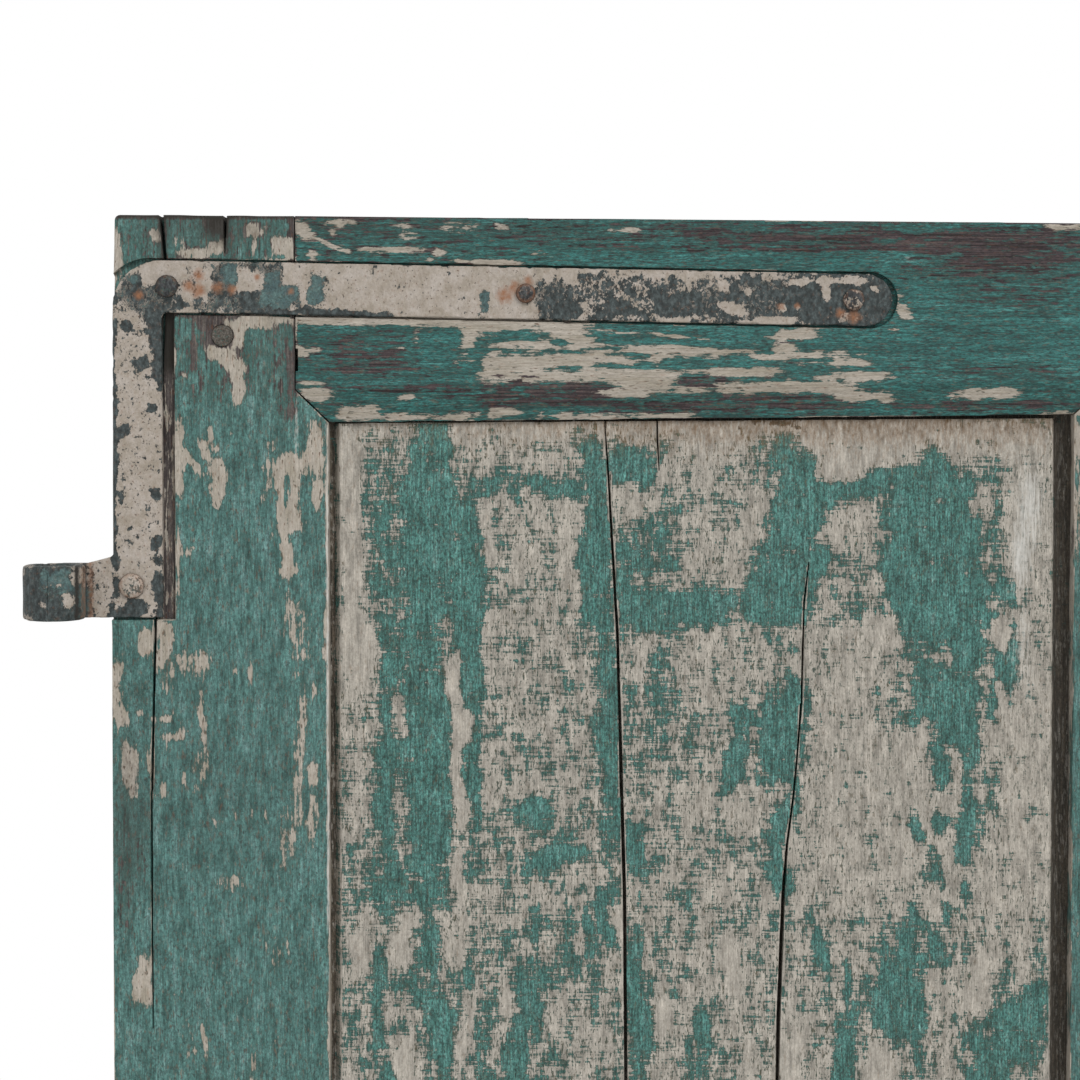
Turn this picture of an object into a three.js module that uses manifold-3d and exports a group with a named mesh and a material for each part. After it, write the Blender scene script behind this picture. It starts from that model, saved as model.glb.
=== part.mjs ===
// One leaf of an old panelled door: two stiles, three rails and two loose panels, pegged together
// and hung by a forged corner strap with a rolled eye at the top and another at the bottom.
// Millimetres. X runs from the hinge edge to the lock edge, Y from the painted face to the back.

import * as THREE from 'three';
import { mergeVertices } from 'three/addons/utils/BufferGeometryUtils.js';
import Module from 'manifold-3d';

const wasm = await Module();
wasm.setup();

// Leaf
const leafHeight = 1950;
const leafThickness = 38;
const openingWidth = 389; // between the two stiles
const stileWidth = 113; // with its stuck chamfer
const topRailDepth = 108; // at the hinge end, from the leaf's top corner
const topRailTaper = 4.2; // its lower edge climbs this much across the opening
const topEdgeFall = 5.5; // the top edge is planed down towards the lock edge
const lockRailHeight = 820; // of its lower edge
const lockRailWidth = 140;
const bottomRailWidth = 180;
const cornerWear = 2.4; // planed off the hinge edge at the top
const cornerWearLength = 170;
const cornerRadius = 3;

// Stuck chamfer and groove round each opening
const chamferWidth = 17.2;
const chamferDepth = 5;
const grooveDepth = 12;
const grooveClearance = 0.3; // in front of a tongue and behind it

// Joints
const jointGap = 0.3;
const tenonSetback = 13; // behind the painted face
const tenonThickness = 12;
const tenonShy = 0.5; // a tenon's end stays this far inside the stile's edge
const topTenon = { start: 30, end: 90 }; // below the leaf's top corner
const lockTenonMargin = 20; // from both edges of the lock rail
const bottomTenon = { start: 52, end: 160 };
const pegRadius = 5.2;
const pegProud = 0.8;
const pegShort = 0.5; // behind the back face
const pegInset = 58.2; // from the stile's outer edge
const topPegDepth = 62.9; // below the leaf's top corner
const lockPegMargin = 42; // from both edges of the lock rail
const bottomPegHeights = [82, 134];

// Panels: boards with a raised field and a thin tongue on every edge
const panelSetback = 8;
const panelThickness = 14;
const tongueThickness = 8;
const tongueReach = 9; // into the groove
const channelAtHinge = 5.2; // the field has shrunk away from the stile by this much
const channelAtLock = 10.5;
const fieldBevelAtHinge = 3.1;
const fieldBevelAtLock = 3.6;
const fieldGapTop = 0.9;
const fieldGapBottom = 4;
const lapWidth = 9; // of the lip on the first board that runs behind the second
const lapClearance = 0.3;

// Corner strap, measured from the hinge edge and from the leaf's end
const plateThickness = 5;
const plateProud = 1.5;
const armWidth = 27.3;
const armEnd = 406;
const armSlope = 0.0195; // the arm strays from the leaf's end by this much for each millimetre
const armCentre = 36.8; // where the arm's centre line would meet the hinge edge
const legInset = 1.1;
const legWidth = 26;
const legEnd = 209.6;
const strapCornerRadius = 25;
const strapInnerRadius = 3;
const seatGap = 0.2; // between the plate, the nail heads and the wood
const housingMargin = 0.8;
const housingBesideLeg = 6; // the housing was cut this much too wide
const housingPastTip = 1.8;

// Rolled eye
const eyeRadius = 16;
const boreRadius = 9.5;
const eyeReach = 27.1; // of its axis, out from the hinge edge
const eyeStart = 181;
const eyeRim = 2.4; // worn rounding outside
const boreRim = 0.8;
const tangFlare = 3.4;
const tangFlareStart = 13;
const seamWidth = 0.8;
const seamDepth = 3;

// Nails: a domed head on a tapered square shank
const nailLength = 29;
const shankRadius = 3; // across its corners, at the head
const shankTipRadius = 0.8;
const headRise = 2.6;
const headEdge = 0.9;
const nails = [
  { name: 'corner', along: 29.9, headRadius: 6 },
  { name: 'middle', along: 215.8, headRadius: 5.2 },
  { name: 'tip', along: 385.8, headRadius: 5.8 },
  { name: 'leg', inset: 10.8, down: 192.8, headRadius: 6.8 },
];

// Splits and the open joint between boards: distance in from the hinge edge, down from the top
// corner, and width
const splitDepth = 9;
const stileSplit = [
  [26.6, -2, 2],
  [26.9, 1, 2],
  [28.7, 23, 1.7],
  [27, 60, 1.5],
  [22.8, 210, 1.3],
  [21.8, 255, 1],
  [20.3, 307, 0.9],
  [20.3, 350, 0.8],
  [20.6, 425, 0.2],
];
const stileShortSplit = [
  [59.9, -2, 1.5],
  [59.8, 8, 1.1],
  [59.6, 20, 0.2],
];
const panelSplit = [
  [364.2, 181, 0.2],
  [361.8, 202, 0.5],
  [360.5, 255, 0.7],
  [358.2, 285, 0.9],
  [356.6, 303, 1],
  [353.2, 330, 1.2],
  [351.4, 354, 1.5],
  [349, 420, 1.8],
  [347.5, 520, 1],
  [347, 610, 0.2],
];
const panelShortSplit = [
  [284.4, 100, 0.7],
  [284.6, 116, 0.6],
  [285.6, 133, 0.2],
];
const boardJoint = [
  [257, 110, 0.5],
  [258.5, 135, 0.9],
  [263.2, 221, 1.2],
  [266.9, 354, 1.5],
  [268.4, 520, 1.6],
  [268.8, 740, 1.3],
];
const lowerJointInset = 246; // the lower panel's joint is straight
const lowerJointGap = 1;
const shoulderGap = { start: 69.7, end: 81.1, width: 1.2, depth: 6 };

const leafWidth = openingWidth + 2 * stileWidth;
const shoulder = stileWidth - chamferWidth;
const farArris = leafWidth - stileWidth;
const tongueFront = panelSetback + panelThickness - tongueThickness;
const panelBack = panelSetback + panelThickness;
const plateBack = plateThickness - plateProud;
const eyeDepth = plateBack - eyeRadius; // the eye is rolled forward from the plate
const over = 5; // how far a cutter runs past what it cuts
const ringSegments = 40;
const pegSegments = 20;

const topEdge = (x) => leafHeight - (topEdgeFall * x) / leafWidth;
const topRailLow = leafHeight - topRailDepth;

// Rails from the bottom up. An edge is [height at the hinge stile, height at the lock stile].
const rails = [
  {
    name: 'bottom_rail',
    high: [bottomRailWidth, bottomRailWidth],
    tenon: [bottomTenon.start, bottomTenon.end],
    pegs: bottomPegHeights,
  },
  {
    name: 'lock_rail',
    low: [lockRailHeight, lockRailHeight],
    high: [lockRailHeight + lockRailWidth, lockRailHeight + lockRailWidth],
    tenon: [lockRailHeight + lockTenonMargin, lockRailHeight + lockRailWidth - lockTenonMargin],
    pegs: [lockRailHeight + lockPegMargin, lockRailHeight + lockRailWidth - lockPegMargin],
  },
  {
    name: 'top_rail',
    low: [topRailLow, topRailLow + topRailTaper],
    tenon: [leafHeight - topTenon.end, leafHeight - topTenon.start],
    pegs: [leafHeight - topPegDepth],
  },
];

// Solids

function solidOf(geometry) {
  const bare = geometry.clone();
  bare.deleteAttribute('normal');
  bare.deleteAttribute('uv');
  const merged = mergeVertices(bare);
  const mesh = new wasm.Mesh({
    numProp: 3,
    vertProperties: merged.attributes.position.array,
    triVerts: new Uint32Array(merged.index.array),
  });
  return new wasm.Manifold(mesh);
}

function geometryOf(solid) {
  const mesh = solid.getMesh();
  const geometry = new THREE.BufferGeometry();
  geometry.setAttribute('position', new THREE.BufferAttribute(mesh.vertProperties, 3));
  geometry.setIndex(new THREE.BufferAttribute(mesh.triVerts, 1));
  return geometry;
}

const shapeOf = (points) => new THREE.Shape(points.map(([a, b]) => new THREE.Vector2(a, b)));

// An outline of [x, z] points, from one depth to another
function slab(points, front, back) {
  const geometry = new THREE.ExtrudeGeometry(shapeOf(points), {
    depth: back - front,
    bevelEnabled: false,
  });
  return solidOf(geometry.rotateX(Math.PI / 2).translate(0, back, 0));
}

// A section of [x, y] points, from one height to another
function post(points, bottom, top) {
  const geometry = new THREE.ExtrudeGeometry(shapeOf(points), {
    depth: top - bottom,
    bevelEnabled: false,
  });
  return solidOf(geometry.translate(0, 0, bottom));
}

function block(x0, x1, y0, y1, z0, z1) {
  const geometry = new THREE.BoxGeometry(x1 - x0, y1 - y0, z1 - z0);
  return solidOf(geometry.translate((x0 + x1) / 2, (y0 + y1) / 2, (z0 + z1) / 2));
}

// A section of [depth, distance into the wood] points, run along an edge from one [x, z] point to
// another. The wood lies to the left of the run, seen from the painted face.
function alongEdge(section, from, to, runOn) {
  const start = new THREE.Vector3(from[0], 0, from[1]);
  const run = new THREE.Vector3(to[0], 0, to[1]).sub(start);
  const length = run.length();
  const way = run.normalize();
  const across = new THREE.Vector3(0, 1, 0);
  const inward = way.clone().cross(across);
  const geometry = new THREE.ExtrudeGeometry(shapeOf(section), {
    depth: length + 2 * runOn,
    bevelEnabled: false,
  });
  const place = new THREE.Matrix4().makeBasis(across, inward, way);
  place.setPosition(start.addScaledVector(way, -runOn));
  return solidOf(geometry.applyMatrix4(place));
}

// Cuts that members share

function edgeCuts(from, to, runOn) {
  const slope = chamferDepth / chamferWidth;
  const chamfer = [
    [-over, chamferWidth + over / slope],
    [-over, -over],
    [chamferDepth + over * slope, -over],
  ];
  const groove = [
    [tongueFront - grooveClearance, -over],
    [panelBack + grooveClearance, -over],
    [panelBack + grooveClearance, grooveDepth],
    [tongueFront - grooveClearance, grooveDepth],
  ];
  return [alongEdge(chamfer, from, to, runOn), alongEdge(groove, from, to, runOn)];
}

function pegAt(x, z, room, front, back) {
  const radius = pegRadius + room;
  const geometry = new THREE.CylinderGeometry(radius, radius, back - front, pegSegments);
  return solidOf(geometry.translate(x, (front + back) / 2, z));
}

const pegPlaces = rails.flatMap((rail) =>
  rail.pegs.flatMap((z, level) => [
    { name: `${rail.name}_hinge_peg_${level + 1}`, x: pegInset, z },
    { name: `${rail.name}_lock_peg_${level + 1}`, x: leafWidth - pegInset, z },
  ]),
);

const pegHoles = pegPlaces.map(({ x, z }) => pegAt(x, z, jointGap, -over, leafThickness + over));

// A split from a list of [distance in, distance down, width]
function splitCut(places, front, depth) {
  const left = places.map(([x, down, width]) => [x - width / 2, leafHeight - down]);
  const right = places.map(([x, down, width]) => [x + width / 2, leafHeight - down]);
  return slab([...left, ...right.reverse()], front - over, front + depth);
}

// Strap

// A strap's own measures run in from the hinge edge and away from the leaf's end, so that the
// lower strap is the upper one mirrored.
const atEnd = { top: (down) => leafHeight - down, bottom: (down) => down };
const armLine = (along) => armCentre + armSlope * along;

function strapOutline(end, room) {
  const half = armWidth / 2 + room.side;
  const outer = legInset - room.edge;
  const inner = legInset + legWidth + room.leg;
  const radius = strapCornerRadius + room.side;
  const tip = armEnd - armWidth / 2 + room.tip;
  const innerLine = armLine(inner) + half;
  const outline = new THREE.Shape();
  outline.moveTo(tip, armLine(tip) - half);
  outline.absarc(tip, armLine(tip), half, -Math.PI / 2, Math.PI / 2, false);
  outline.lineTo(inner + strapInnerRadius, innerLine);
  outline.quadraticCurveTo(inner, innerLine, inner, innerLine + strapInnerRadius);
  outline.lineTo(inner, legEnd + room.side);
  outline.lineTo(outer, legEnd + room.side);
  const turn = outer + radius;
  const turnLine = armLine(turn) - half + radius;
  outline.lineTo(outer, turnLine);
  outline.absarc(turn, turnLine, radius, Math.PI, 1.5 * Math.PI, false);
  return outline.getPoints(10).map((point) => [point.x, atEnd[end](point.y)]);
}

const plateRoom = { side: 0, edge: 0, leg: 0, tip: 0 };
const housingRoom = {
  side: housingMargin,
  edge: legInset + over,
  leg: housingBesideLeg,
  tip: housingPastTip,
};
const housing = (end) => slab(strapOutline(end, housingRoom), -over, plateBack + seatGap);

function nailSpots(end) {
  return nails.map((nail) => {
    const x = nail.along ?? nail.inset;
    const down = nail.down ?? armLine(nail.along);
    return { ...nail, x, z: atEnd[end](down) };
  });
}

function shank(spot, room) {
  const geometry = new THREE.CylinderGeometry(
    shankTipRadius + room,
    shankRadius + room,
    nailLength + room,
    4,
  );
  geometry.rotateY(Math.PI / 4);
  const start = -plateProud - seatGap;
  return solidOf(geometry.translate(spot.x, start + (nailLength + room) / 2, spot.z));
}

const nailHoles = (end) => nailSpots(end).map((spot) => shank(spot, jointGap * Math.SQRT2));

function nailHead(spot) {
  const steps = 6;
  const face = -plateProud - seatGap;
  const profile = [new THREE.Vector2(0, 0), new THREE.Vector2(spot.headRadius, 0)];
  for (let step = 0; step <= steps; step++) {
    const angle = (step / steps) * (Math.PI / 2);
    const radius = step === steps ? 0 : spot.headRadius * Math.cos(angle);
    profile.push(new THREE.Vector2(radius, headEdge + (headRise - headEdge) * Math.sin(angle)));
  }
  const geometry = new THREE.LatheGeometry(profile, pegSegments);
  return solidOf(geometry.rotateX(Math.PI).translate(spot.x, face, spot.z));
}

// The eye's ring, revolved from a section with worn rims
function eyeRing(bottom, top) {
  const section = new THREE.Path();
  section.moveTo(boreRadius + boreRim, bottom);
  section.lineTo(eyeRadius - eyeRim, bottom);
  section.quadraticCurveTo(eyeRadius, bottom, eyeRadius, bottom + eyeRim);
  section.lineTo(eyeRadius, top - eyeRim);
  section.quadraticCurveTo(eyeRadius, top, eyeRadius - eyeRim, top);
  section.lineTo(boreRadius + boreRim, top);
  section.lineTo(boreRadius, top - boreRim);
  section.lineTo(boreRadius, bottom + boreRim);
  section.lineTo(boreRadius + boreRim, bottom);
  const geometry = new THREE.LatheGeometry(section.getPoints(4), ringSegments);
  return solidOf(geometry.rotateX(Math.PI / 2).translate(-eyeReach, eyeDepth, 0));
}

// The tang carries the plate out past the hinge edge and runs into the back of the ring.
function eyeTang(end) {
  const inside = legInset + over;
  const low = Math.min(atEnd[end](eyeStart - tangFlare), atEnd[end](legEnd));
  const high = Math.max(atEnd[end](eyeStart - tangFlare), atEnd[end](legEnd));
  const section = [
    [-eyeReach, -plateProud],
    [inside, -plateProud],
    [inside, plateBack],
    [-eyeReach, plateBack],
  ];
  const flare = [
    [-eyeReach - over, eyeStart],
    [-tangFlareStart, eyeStart],
    [0, eyeStart - tangFlare],
    [inside, eyeStart - tangFlare],
    [inside, legEnd],
    [-eyeReach - over, legEnd],
  ].map(([x, down]) => [x, atEnd[end](down)]);
  return post(section, low, high).intersect(slab(flare, -over, plateBack + over));
}

// The seam where the end of the roll closes on the tang's face
function eyeSeam() {
  const rise = -plateProud - eyeDepth;
  const crease = -eyeReach + Math.sqrt(eyeRadius ** 2 - rise ** 2);
  const outside = [crease + over / 2, -plateProud - over / 2];
  const way = new THREE.Vector2(-1, 1).normalize();
  const side = new THREE.Vector2(1, 1).normalize().multiplyScalar(seamWidth / 2);
  const reach = seamDepth + over / Math.SQRT2;
  const end = [outside[0] + way.x * reach, outside[1] + way.y * reach];
  const section = [
    [outside[0] - side.x, outside[1] - side.y],
    [outside[0] + side.x, outside[1] + side.y],
    [end[0], end[1]],
  ];
  return post(section, -over, leafHeight + over);
}

function strapSolid(end) {
  const low = Math.min(atEnd[end](eyeStart), atEnd[end](legEnd));
  const high = Math.max(atEnd[end](eyeStart), atEnd[end](legEnd));
  let strap = slab(strapOutline(end, plateRoom), -plateProud, plateBack);
  const bore = new THREE.CylinderGeometry(boreRadius, boreRadius, high - low + over, ringSegments);
  bore.rotateX(Math.PI / 2).translate(-eyeReach, eyeDepth, (low + high) / 2);
  strap = strap.add(eyeTang(end).subtract(solidOf(bore))).add(eyeRing(low, high));
  strap = strap.subtract(eyeSeam());
  for (const hole of nailHoles(end)) strap = strap.subtract(hole);
  return strap;
}

// Stiles and rails

// The stile's inner side is notched for each rail, with a mitre wherever the chamfer turns.
function stileOutline(side) {
  const inner = [];
  for (const rail of rails) {
    if (rail.low) {
      inner.push([stileWidth, rail.low[side]], [shoulder, rail.low[side] + chamferWidth]);
    } else {
      inner.push([shoulder, 0]);
    }
    if (rail.high) {
      inner.push([shoulder, rail.high[side] - chamferWidth], [stileWidth, rail.high[side]]);
    } else {
      inner.push([shoulder, topEdge(side ? leafWidth - shoulder : shoulder)]);
    }
  }
  return inner;
}

// The hinge edge, from the rounded and planed top corner down
function hingeEdge() {
  const steps = 5;
  const points = [];
  for (let step = 0; step <= steps; step++) {
    const angle = (step / steps) * (Math.PI / 2);
    const x = cornerWear + cornerRadius * (1 - Math.sin(angle));
    points.push([x, topEdge(x) - cornerRadius * (1 - Math.cos(angle))]);
  }
  for (let step = 1; step <= steps; step++) {
    const left = 1 - step / steps;
    const z = leafHeight - cornerRadius - (cornerWearLength - cornerRadius) * (step / steps);
    points.push([cornerWear * left * left, z]);
  }
  points.push([0, 0]);
  return points;
}

function mortise(rail) {
  const [low, high] = rail.tenon;
  const front = tenonSetback - jointGap;
  const back = tenonSetback + tenonThickness + jointGap;
  return block(-over, leafWidth + over, front, back, low - jointGap, high + jointGap);
}

function cutAll(solid, cutters) {
  return cutters.reduce((left, cutter) => left.subtract(cutter), solid);
}

function hingeStile() {
  const stile = slab([...stileOutline(0), ...hingeEdge()], 0, leafThickness);
  return cutAll(stile, [
    ...edgeCuts([stileWidth, 0], [stileWidth, leafHeight], over),
    ...rails.map(mortise),
    ...pegHoles,
    housing('top'),
    housing('bottom'),
    ...nailHoles('top'),
    ...nailHoles('bottom'),
    splitCut(stileSplit, 0, splitDepth),
    splitCut(stileShortSplit, 0, splitDepth),
  ]);
}

function lockStile() {
  const inner = stileOutline(1).map(([x, z]) => [leafWidth - x, z]);
  const outer = [
    [leafWidth, topEdge(leafWidth)],
    [leafWidth, 0],
  ];
  const stile = slab([...inner, ...outer], 0, leafThickness);
  return cutAll(stile, [
    ...edgeCuts([farArris, leafHeight], [farArris, 0], over),
    ...rails.map(mortise),
    ...pegHoles,
  ]);
}

function railSolid(rail) {
  const near = shoulder + jointGap;
  const far = leafWidth - shoulder - jointGap;
  const nearArris = stileWidth + jointGap;
  const outline = [];
  if (rail.low) {
    outline.push([near, rail.low[0] + chamferWidth], [nearArris, rail.low[0]]);
    outline.push([farArris - jointGap, rail.low[1]], [far, rail.low[1] + chamferWidth]);
  } else {
    outline.push([near, 0], [far, 0]);
  }
  if (rail.high) {
    outline.push([far, rail.high[1] - chamferWidth], [farArris - jointGap, rail.high[1]]);
    outline.push([nearArris, rail.high[0]], [near, rail.high[0] - chamferWidth]);
  } else {
    outline.push([far, topEdge(far)], [near, topEdge(near)]);
  }
  const [low, high] = rail.tenon;
  const tenonBack = tenonSetback + tenonThickness;
  const tenons = block(tenonShy, leafWidth - tenonShy, tenonSetback, tenonBack, low, high);
  let solid = slab(outline, 0, leafThickness).add(tenons);
  const cuts = [...pegHoles, ...nailHoles('top'), ...nailHoles('bottom')];
  if (rail.low) {
    const edge = [[stileWidth, rail.low[0]], [farArris, rail.low[1]]];
    cuts.push(...edgeCuts(...edge, chamferWidth + over));
  }
  if (rail.high) {
    const edge = [[farArris, rail.high[1]], [stileWidth, rail.high[0]]];
    cuts.push(...edgeCuts(...edge, chamferWidth + over));
  }
  if (rail.name === 'top_rail') {
    const { start, end, width, depth } = shoulderGap;
    const [gapLow, gapHigh] = [leafHeight - end, leafHeight - start];
    cuts.push(housing('top'), block(near - over, near + width, -over, depth, gapLow, gapHigh));
  }
  if (rail.name === 'bottom_rail') cuts.push(housing('bottom'));
  solid = cutAll(solid, cuts);
  return solid;
}

// Panels

// A board joint's line of [x, height, gap] points, run on straight past both ends of the boards
function jointLine(places, bottom, top) {
  const line = places
    .map(([x, down, gap]) => [x, leafHeight - down, gap])
    .filter(([, z]) => z > bottom && z < top);
  const [firstX, , firstGap] = line[0];
  const [lastX, , lastGap] = line[line.length - 1];
  return [[firstX, top + over, firstGap], ...line, [lastX, bottom - over, lastGap]];
}

// Everything past a board joint, on the far side or the near side of its line
function pastJoint(line, shift, sign, front, back) {
  const edge = line.map(([x, z, gap]) => [x + shift + (sign < 0 ? gap : 0), z]);
  const away = sign > 0 ? leafWidth + over : -over;
  const first = edge[0][1];
  const last = edge[edge.length - 1][1];
  return slab([...edge, [away, last], [away, first]], front, back);
}

function panelBoards(name, low, high, joint, splits) {
  const bottom = low[0] - tongueReach;
  const top = high[0] + tongueReach;
  const nearField = stileWidth + channelAtHinge;
  const farField = farArris - channelAtLock;
  const front = panelSetback - over;
  const back = panelBack + over;
  const lapPlane = panelSetback + panelThickness / 2;
  const section = [
    [stileWidth - tongueReach, tongueFront],
    [nearField - fieldBevelAtHinge, tongueFront],
    [nearField, panelSetback],
    [farField, panelSetback],
    [farField + fieldBevelAtLock, tongueFront],
    [farArris + tongueReach, tongueFront],
    [farArris + tongueReach, panelBack],
    [stileWidth - tongueReach, panelBack],
  ];
  const aboveField = [
    [0, high[0] - fieldGapTop],
    [leafWidth, high[1] - fieldGapTop],
    [leafWidth, high[1] + topRailDepth],
    [0, high[0] + topRailDepth],
  ];
  const belowField = [
    [0, low[0] - topRailDepth],
    [leafWidth, low[1] - topRailDepth],
    [leafWidth, low[1] + fieldGapBottom],
    [0, low[0] + fieldGapBottom],
  ];
  const whole = cutAll(post(section, bottom, top), [
    slab(aboveField, front, tongueFront),
    slab(belowField, front, tongueFront),
  ]);
  const lipFront = lapPlane + lapClearance / 2;
  const lapBack = lapPlane - lapClearance / 2;
  const line = jointLine(joint, bottom, top);
  const first = cutAll(whole, [
    pastJoint(line, 0, 1, front, lipFront),
    pastJoint(line, lapWidth, 1, front, back),
  ]);
  const second = cutAll(whole, [
    pastJoint(line, 0, -1, front, back),
    pastJoint(line, lapWidth, -1, lapBack, back),
    ...splits.map((places) => splitCut(places, panelSetback, splitDepth)),
  ]);
  return [
    { name: `${name}_hinge_board`, solid: first },
    { name: `${name}_lock_board`, solid: second },
  ];
}

// Finishes

const tealPaint = { color: '#5a746f', roughness: 0.6, metalness: 0 };
const undercoat = { color: '#a39a8c', roughness: 0.75, metalness: 0 };
const bareWood = { color: '#594a40', roughness: 0.85, metalness: 0 };
const paintedIron = { color: '#948c80', roughness: 0.65, metalness: 0.3 };
const darkIron = { color: '#4f4d49', roughness: 0.6, metalness: 0.6 };

const leaf = new THREE.Group();
leaf.name = 'weathered_door_leaf';

function addPiece(name, solid, finish) {
  const mesh = new THREE.Mesh(geometryOf(solid), new THREE.MeshStandardMaterial(finish));
  mesh.name = name;
  leaf.add(mesh);
}

addPiece('hinge_stile', hingeStile(), tealPaint);
addPiece('lock_stile', lockStile(), tealPaint);
for (const rail of rails) addPiece(rail.name, railSolid(rail), tealPaint);

const [bottomRail, lockRail, topRail] = rails;
const lowerPanelMiddle = (bottomRail.high[0] + lockRail.low[0]) / 2;
const lowerJoint = [[lowerJointInset, leafHeight - lowerPanelMiddle, lowerJointGap]];
const boards = [
  ...panelBoards('upper_panel', lockRail.high, topRail.low, boardJoint, [
    panelSplit,
    panelShortSplit,
  ]),
  ...panelBoards('lower_panel', bottomRail.high, lockRail.low, lowerJoint, []),
];
for (const board of boards) addPiece(board.name, board.solid, undercoat);

for (const end of ['top', 'bottom']) {
  addPiece(`${end}_strap`, strapSolid(end), paintedIron);
  for (const spot of nailSpots(end)) {
    addPiece(`${end}_strap_${spot.name}_nail`, nailHead(spot).add(shank(spot, 0)), darkIron);
  }
}

for (const { name, x, z } of pegPlaces) {
  addPiece(name, pegAt(x, z, 0, -pegProud, leafThickness - pegShort), bareWood);
}

// The origin is on the hinge axis, at the underside of the lower eye, where it sits on its pintle.
leaf.position.set(eyeReach, -eyeDepth, -eyeStart);

export default leaf;
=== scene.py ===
# An old door leaf: teal paint over a pale undercoat, scraped and flaked off worn timber, hung on
# forged corner straps. Lengths are metres in the part's own frame. What is placed on the
# painted face is in millimetres: across from the hinge edge, and down from the top corner.

import math

import bmesh
import bpy
import numpy as np
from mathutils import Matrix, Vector


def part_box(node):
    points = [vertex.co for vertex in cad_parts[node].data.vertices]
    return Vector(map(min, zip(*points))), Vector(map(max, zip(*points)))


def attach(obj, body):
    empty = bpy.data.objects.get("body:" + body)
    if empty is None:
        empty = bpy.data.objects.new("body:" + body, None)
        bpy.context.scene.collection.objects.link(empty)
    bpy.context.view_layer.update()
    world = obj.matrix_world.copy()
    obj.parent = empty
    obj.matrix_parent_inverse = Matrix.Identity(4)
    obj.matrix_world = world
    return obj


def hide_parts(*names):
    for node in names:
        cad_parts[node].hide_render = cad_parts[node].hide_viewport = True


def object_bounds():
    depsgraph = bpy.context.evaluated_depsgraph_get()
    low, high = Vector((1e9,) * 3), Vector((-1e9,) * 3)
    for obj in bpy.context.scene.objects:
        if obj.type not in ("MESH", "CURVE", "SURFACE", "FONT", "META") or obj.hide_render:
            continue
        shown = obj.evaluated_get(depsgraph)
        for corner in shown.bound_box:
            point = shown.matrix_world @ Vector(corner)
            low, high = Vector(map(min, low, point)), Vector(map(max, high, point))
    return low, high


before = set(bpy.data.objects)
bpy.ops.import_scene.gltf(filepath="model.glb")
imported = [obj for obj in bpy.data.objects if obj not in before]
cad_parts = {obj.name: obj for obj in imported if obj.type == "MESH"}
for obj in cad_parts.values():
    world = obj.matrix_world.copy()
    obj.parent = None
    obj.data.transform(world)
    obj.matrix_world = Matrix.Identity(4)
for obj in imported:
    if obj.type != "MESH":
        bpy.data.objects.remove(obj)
cadBounds = [list(corner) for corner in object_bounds()]
print("frame loaded:", len(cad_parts), "pieces")

mm = 0.001
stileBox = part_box("hinge_stile")
hingeEdge, paintedFace, leafTop = stileBox[0].x, stileBox[0].y, stileBox[1].z
leafDepth = (stileBox[1].y - paintedFace) / mm
leafWidth = (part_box("lock_stile")[1].x - hingeEdge) / mm
leafHeight = (leafTop - stileBox[0].z) / mm


def paintColour(code):
    channels = [int(code[at : at + 2], 16) / 255 for at in (1, 3, 5)]
    linear = [c / 12.92 if c <= 0.04045 else ((c + 0.055) / 1.055) ** 2.4 for c in channels]
    return (*linear, 1.0)


def addNode(tree, kind, settings=None, links=None):
    made = tree.nodes.new("ShaderNode" + kind)
    for title, value in (settings or {}).items():
        if isinstance(title, str) and hasattr(made, title):
            setattr(made, title, value)
        else:
            made.inputs[title].default_value = value
    for title, source in (links or {}).items():
        socket = source.outputs[0] if isinstance(source, bpy.types.Node) else source
        tree.links.new(socket, made.inputs[title])
    return made


scrambling = {  # large odd numbers, and how far apart the seeds lie
    "cells": (73856093, 19349663, 83492791),
    "seed": 2654435761,
    "last": 1274126177,
    "apart": 13.7,
}


def softNoise(points, size, seed):
    # smooth noise from 0 to 1, with lumps about size mm across; each cell's corner gets a value
    # that is scrambled from its number and the seed
    cells = points / np.asarray(size, float) + seed * scrambling["apart"]
    base = np.floor(cells).astype(np.int64)
    part = cells - base
    part = part * part * (3 - 2 * part)
    total = np.zeros(len(points))
    for corner in np.ndindex(2, 2, 2):
        x, y, z = (base + corner).T * np.array(scrambling["cells"])[:, None]
        mixed = x ^ y ^ z ^ (seed * scrambling["seed"])
        mixed = (mixed ^ (mixed >> 13)) * scrambling["last"]
        value = ((mixed ^ (mixed >> 16)) & 65535) / 65535
        weight = np.prod(np.where(corner, part, 1 - part), axis=1)
        total += value * weight
    return total


def smoothStep(low, high, value):
    share = np.clip((value - low) / (high - low), 0, 1)
    return share * share * (3 - 2 * share)


def leafPlaces(coordinates):
    # across, depth and down in mm for points in the row frame
    return (coordinates - (hingeEdge, paintedFace, leafTop)) * (1, 1, -1) / mm


def readPoints(mesh, field, source="vertices"):
    flat = np.zeros(len(getattr(mesh, source)) * 3)
    getattr(mesh, source).foreach_get(field, flat)
    return flat.reshape(-1, 3)


def sinkSkin(mesh, depths):
    # the skin goes in by depths in mm, never outwards
    points, normals = readPoints(mesh, "co"), readPoints(mesh, "vector", "vertex_normals")
    mesh.vertices.foreach_set("co", (points - normals * (depths * mm)[:, None]).ravel())
    return normals


def dress(mesh, left, **films):
    # left has two rows, the shares of the top coat and of the undercoat that are left
    for title, values in {"topCoat": left[0], "underCoat": left[1], **films}.items():
        layer = mesh.attributes.new(title, "FLOAT", "POINT")
        layer.data.foreach_set("value", np.clip(values, 0, 1).astype(np.float32))
    mesh.shade_smooth()


def layOver(left, share, coat):
    left += share * (np.array([coat]).T - left)


def placePiece(name, mesh, material, nodeName):
    piece = bpy.data.objects.new(name, mesh)
    bpy.context.scene.collection.objects.link(piece)
    mesh.materials.clear()
    mesh.materials.append(material)
    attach(piece, "root")
    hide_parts(nodeName)


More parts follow.
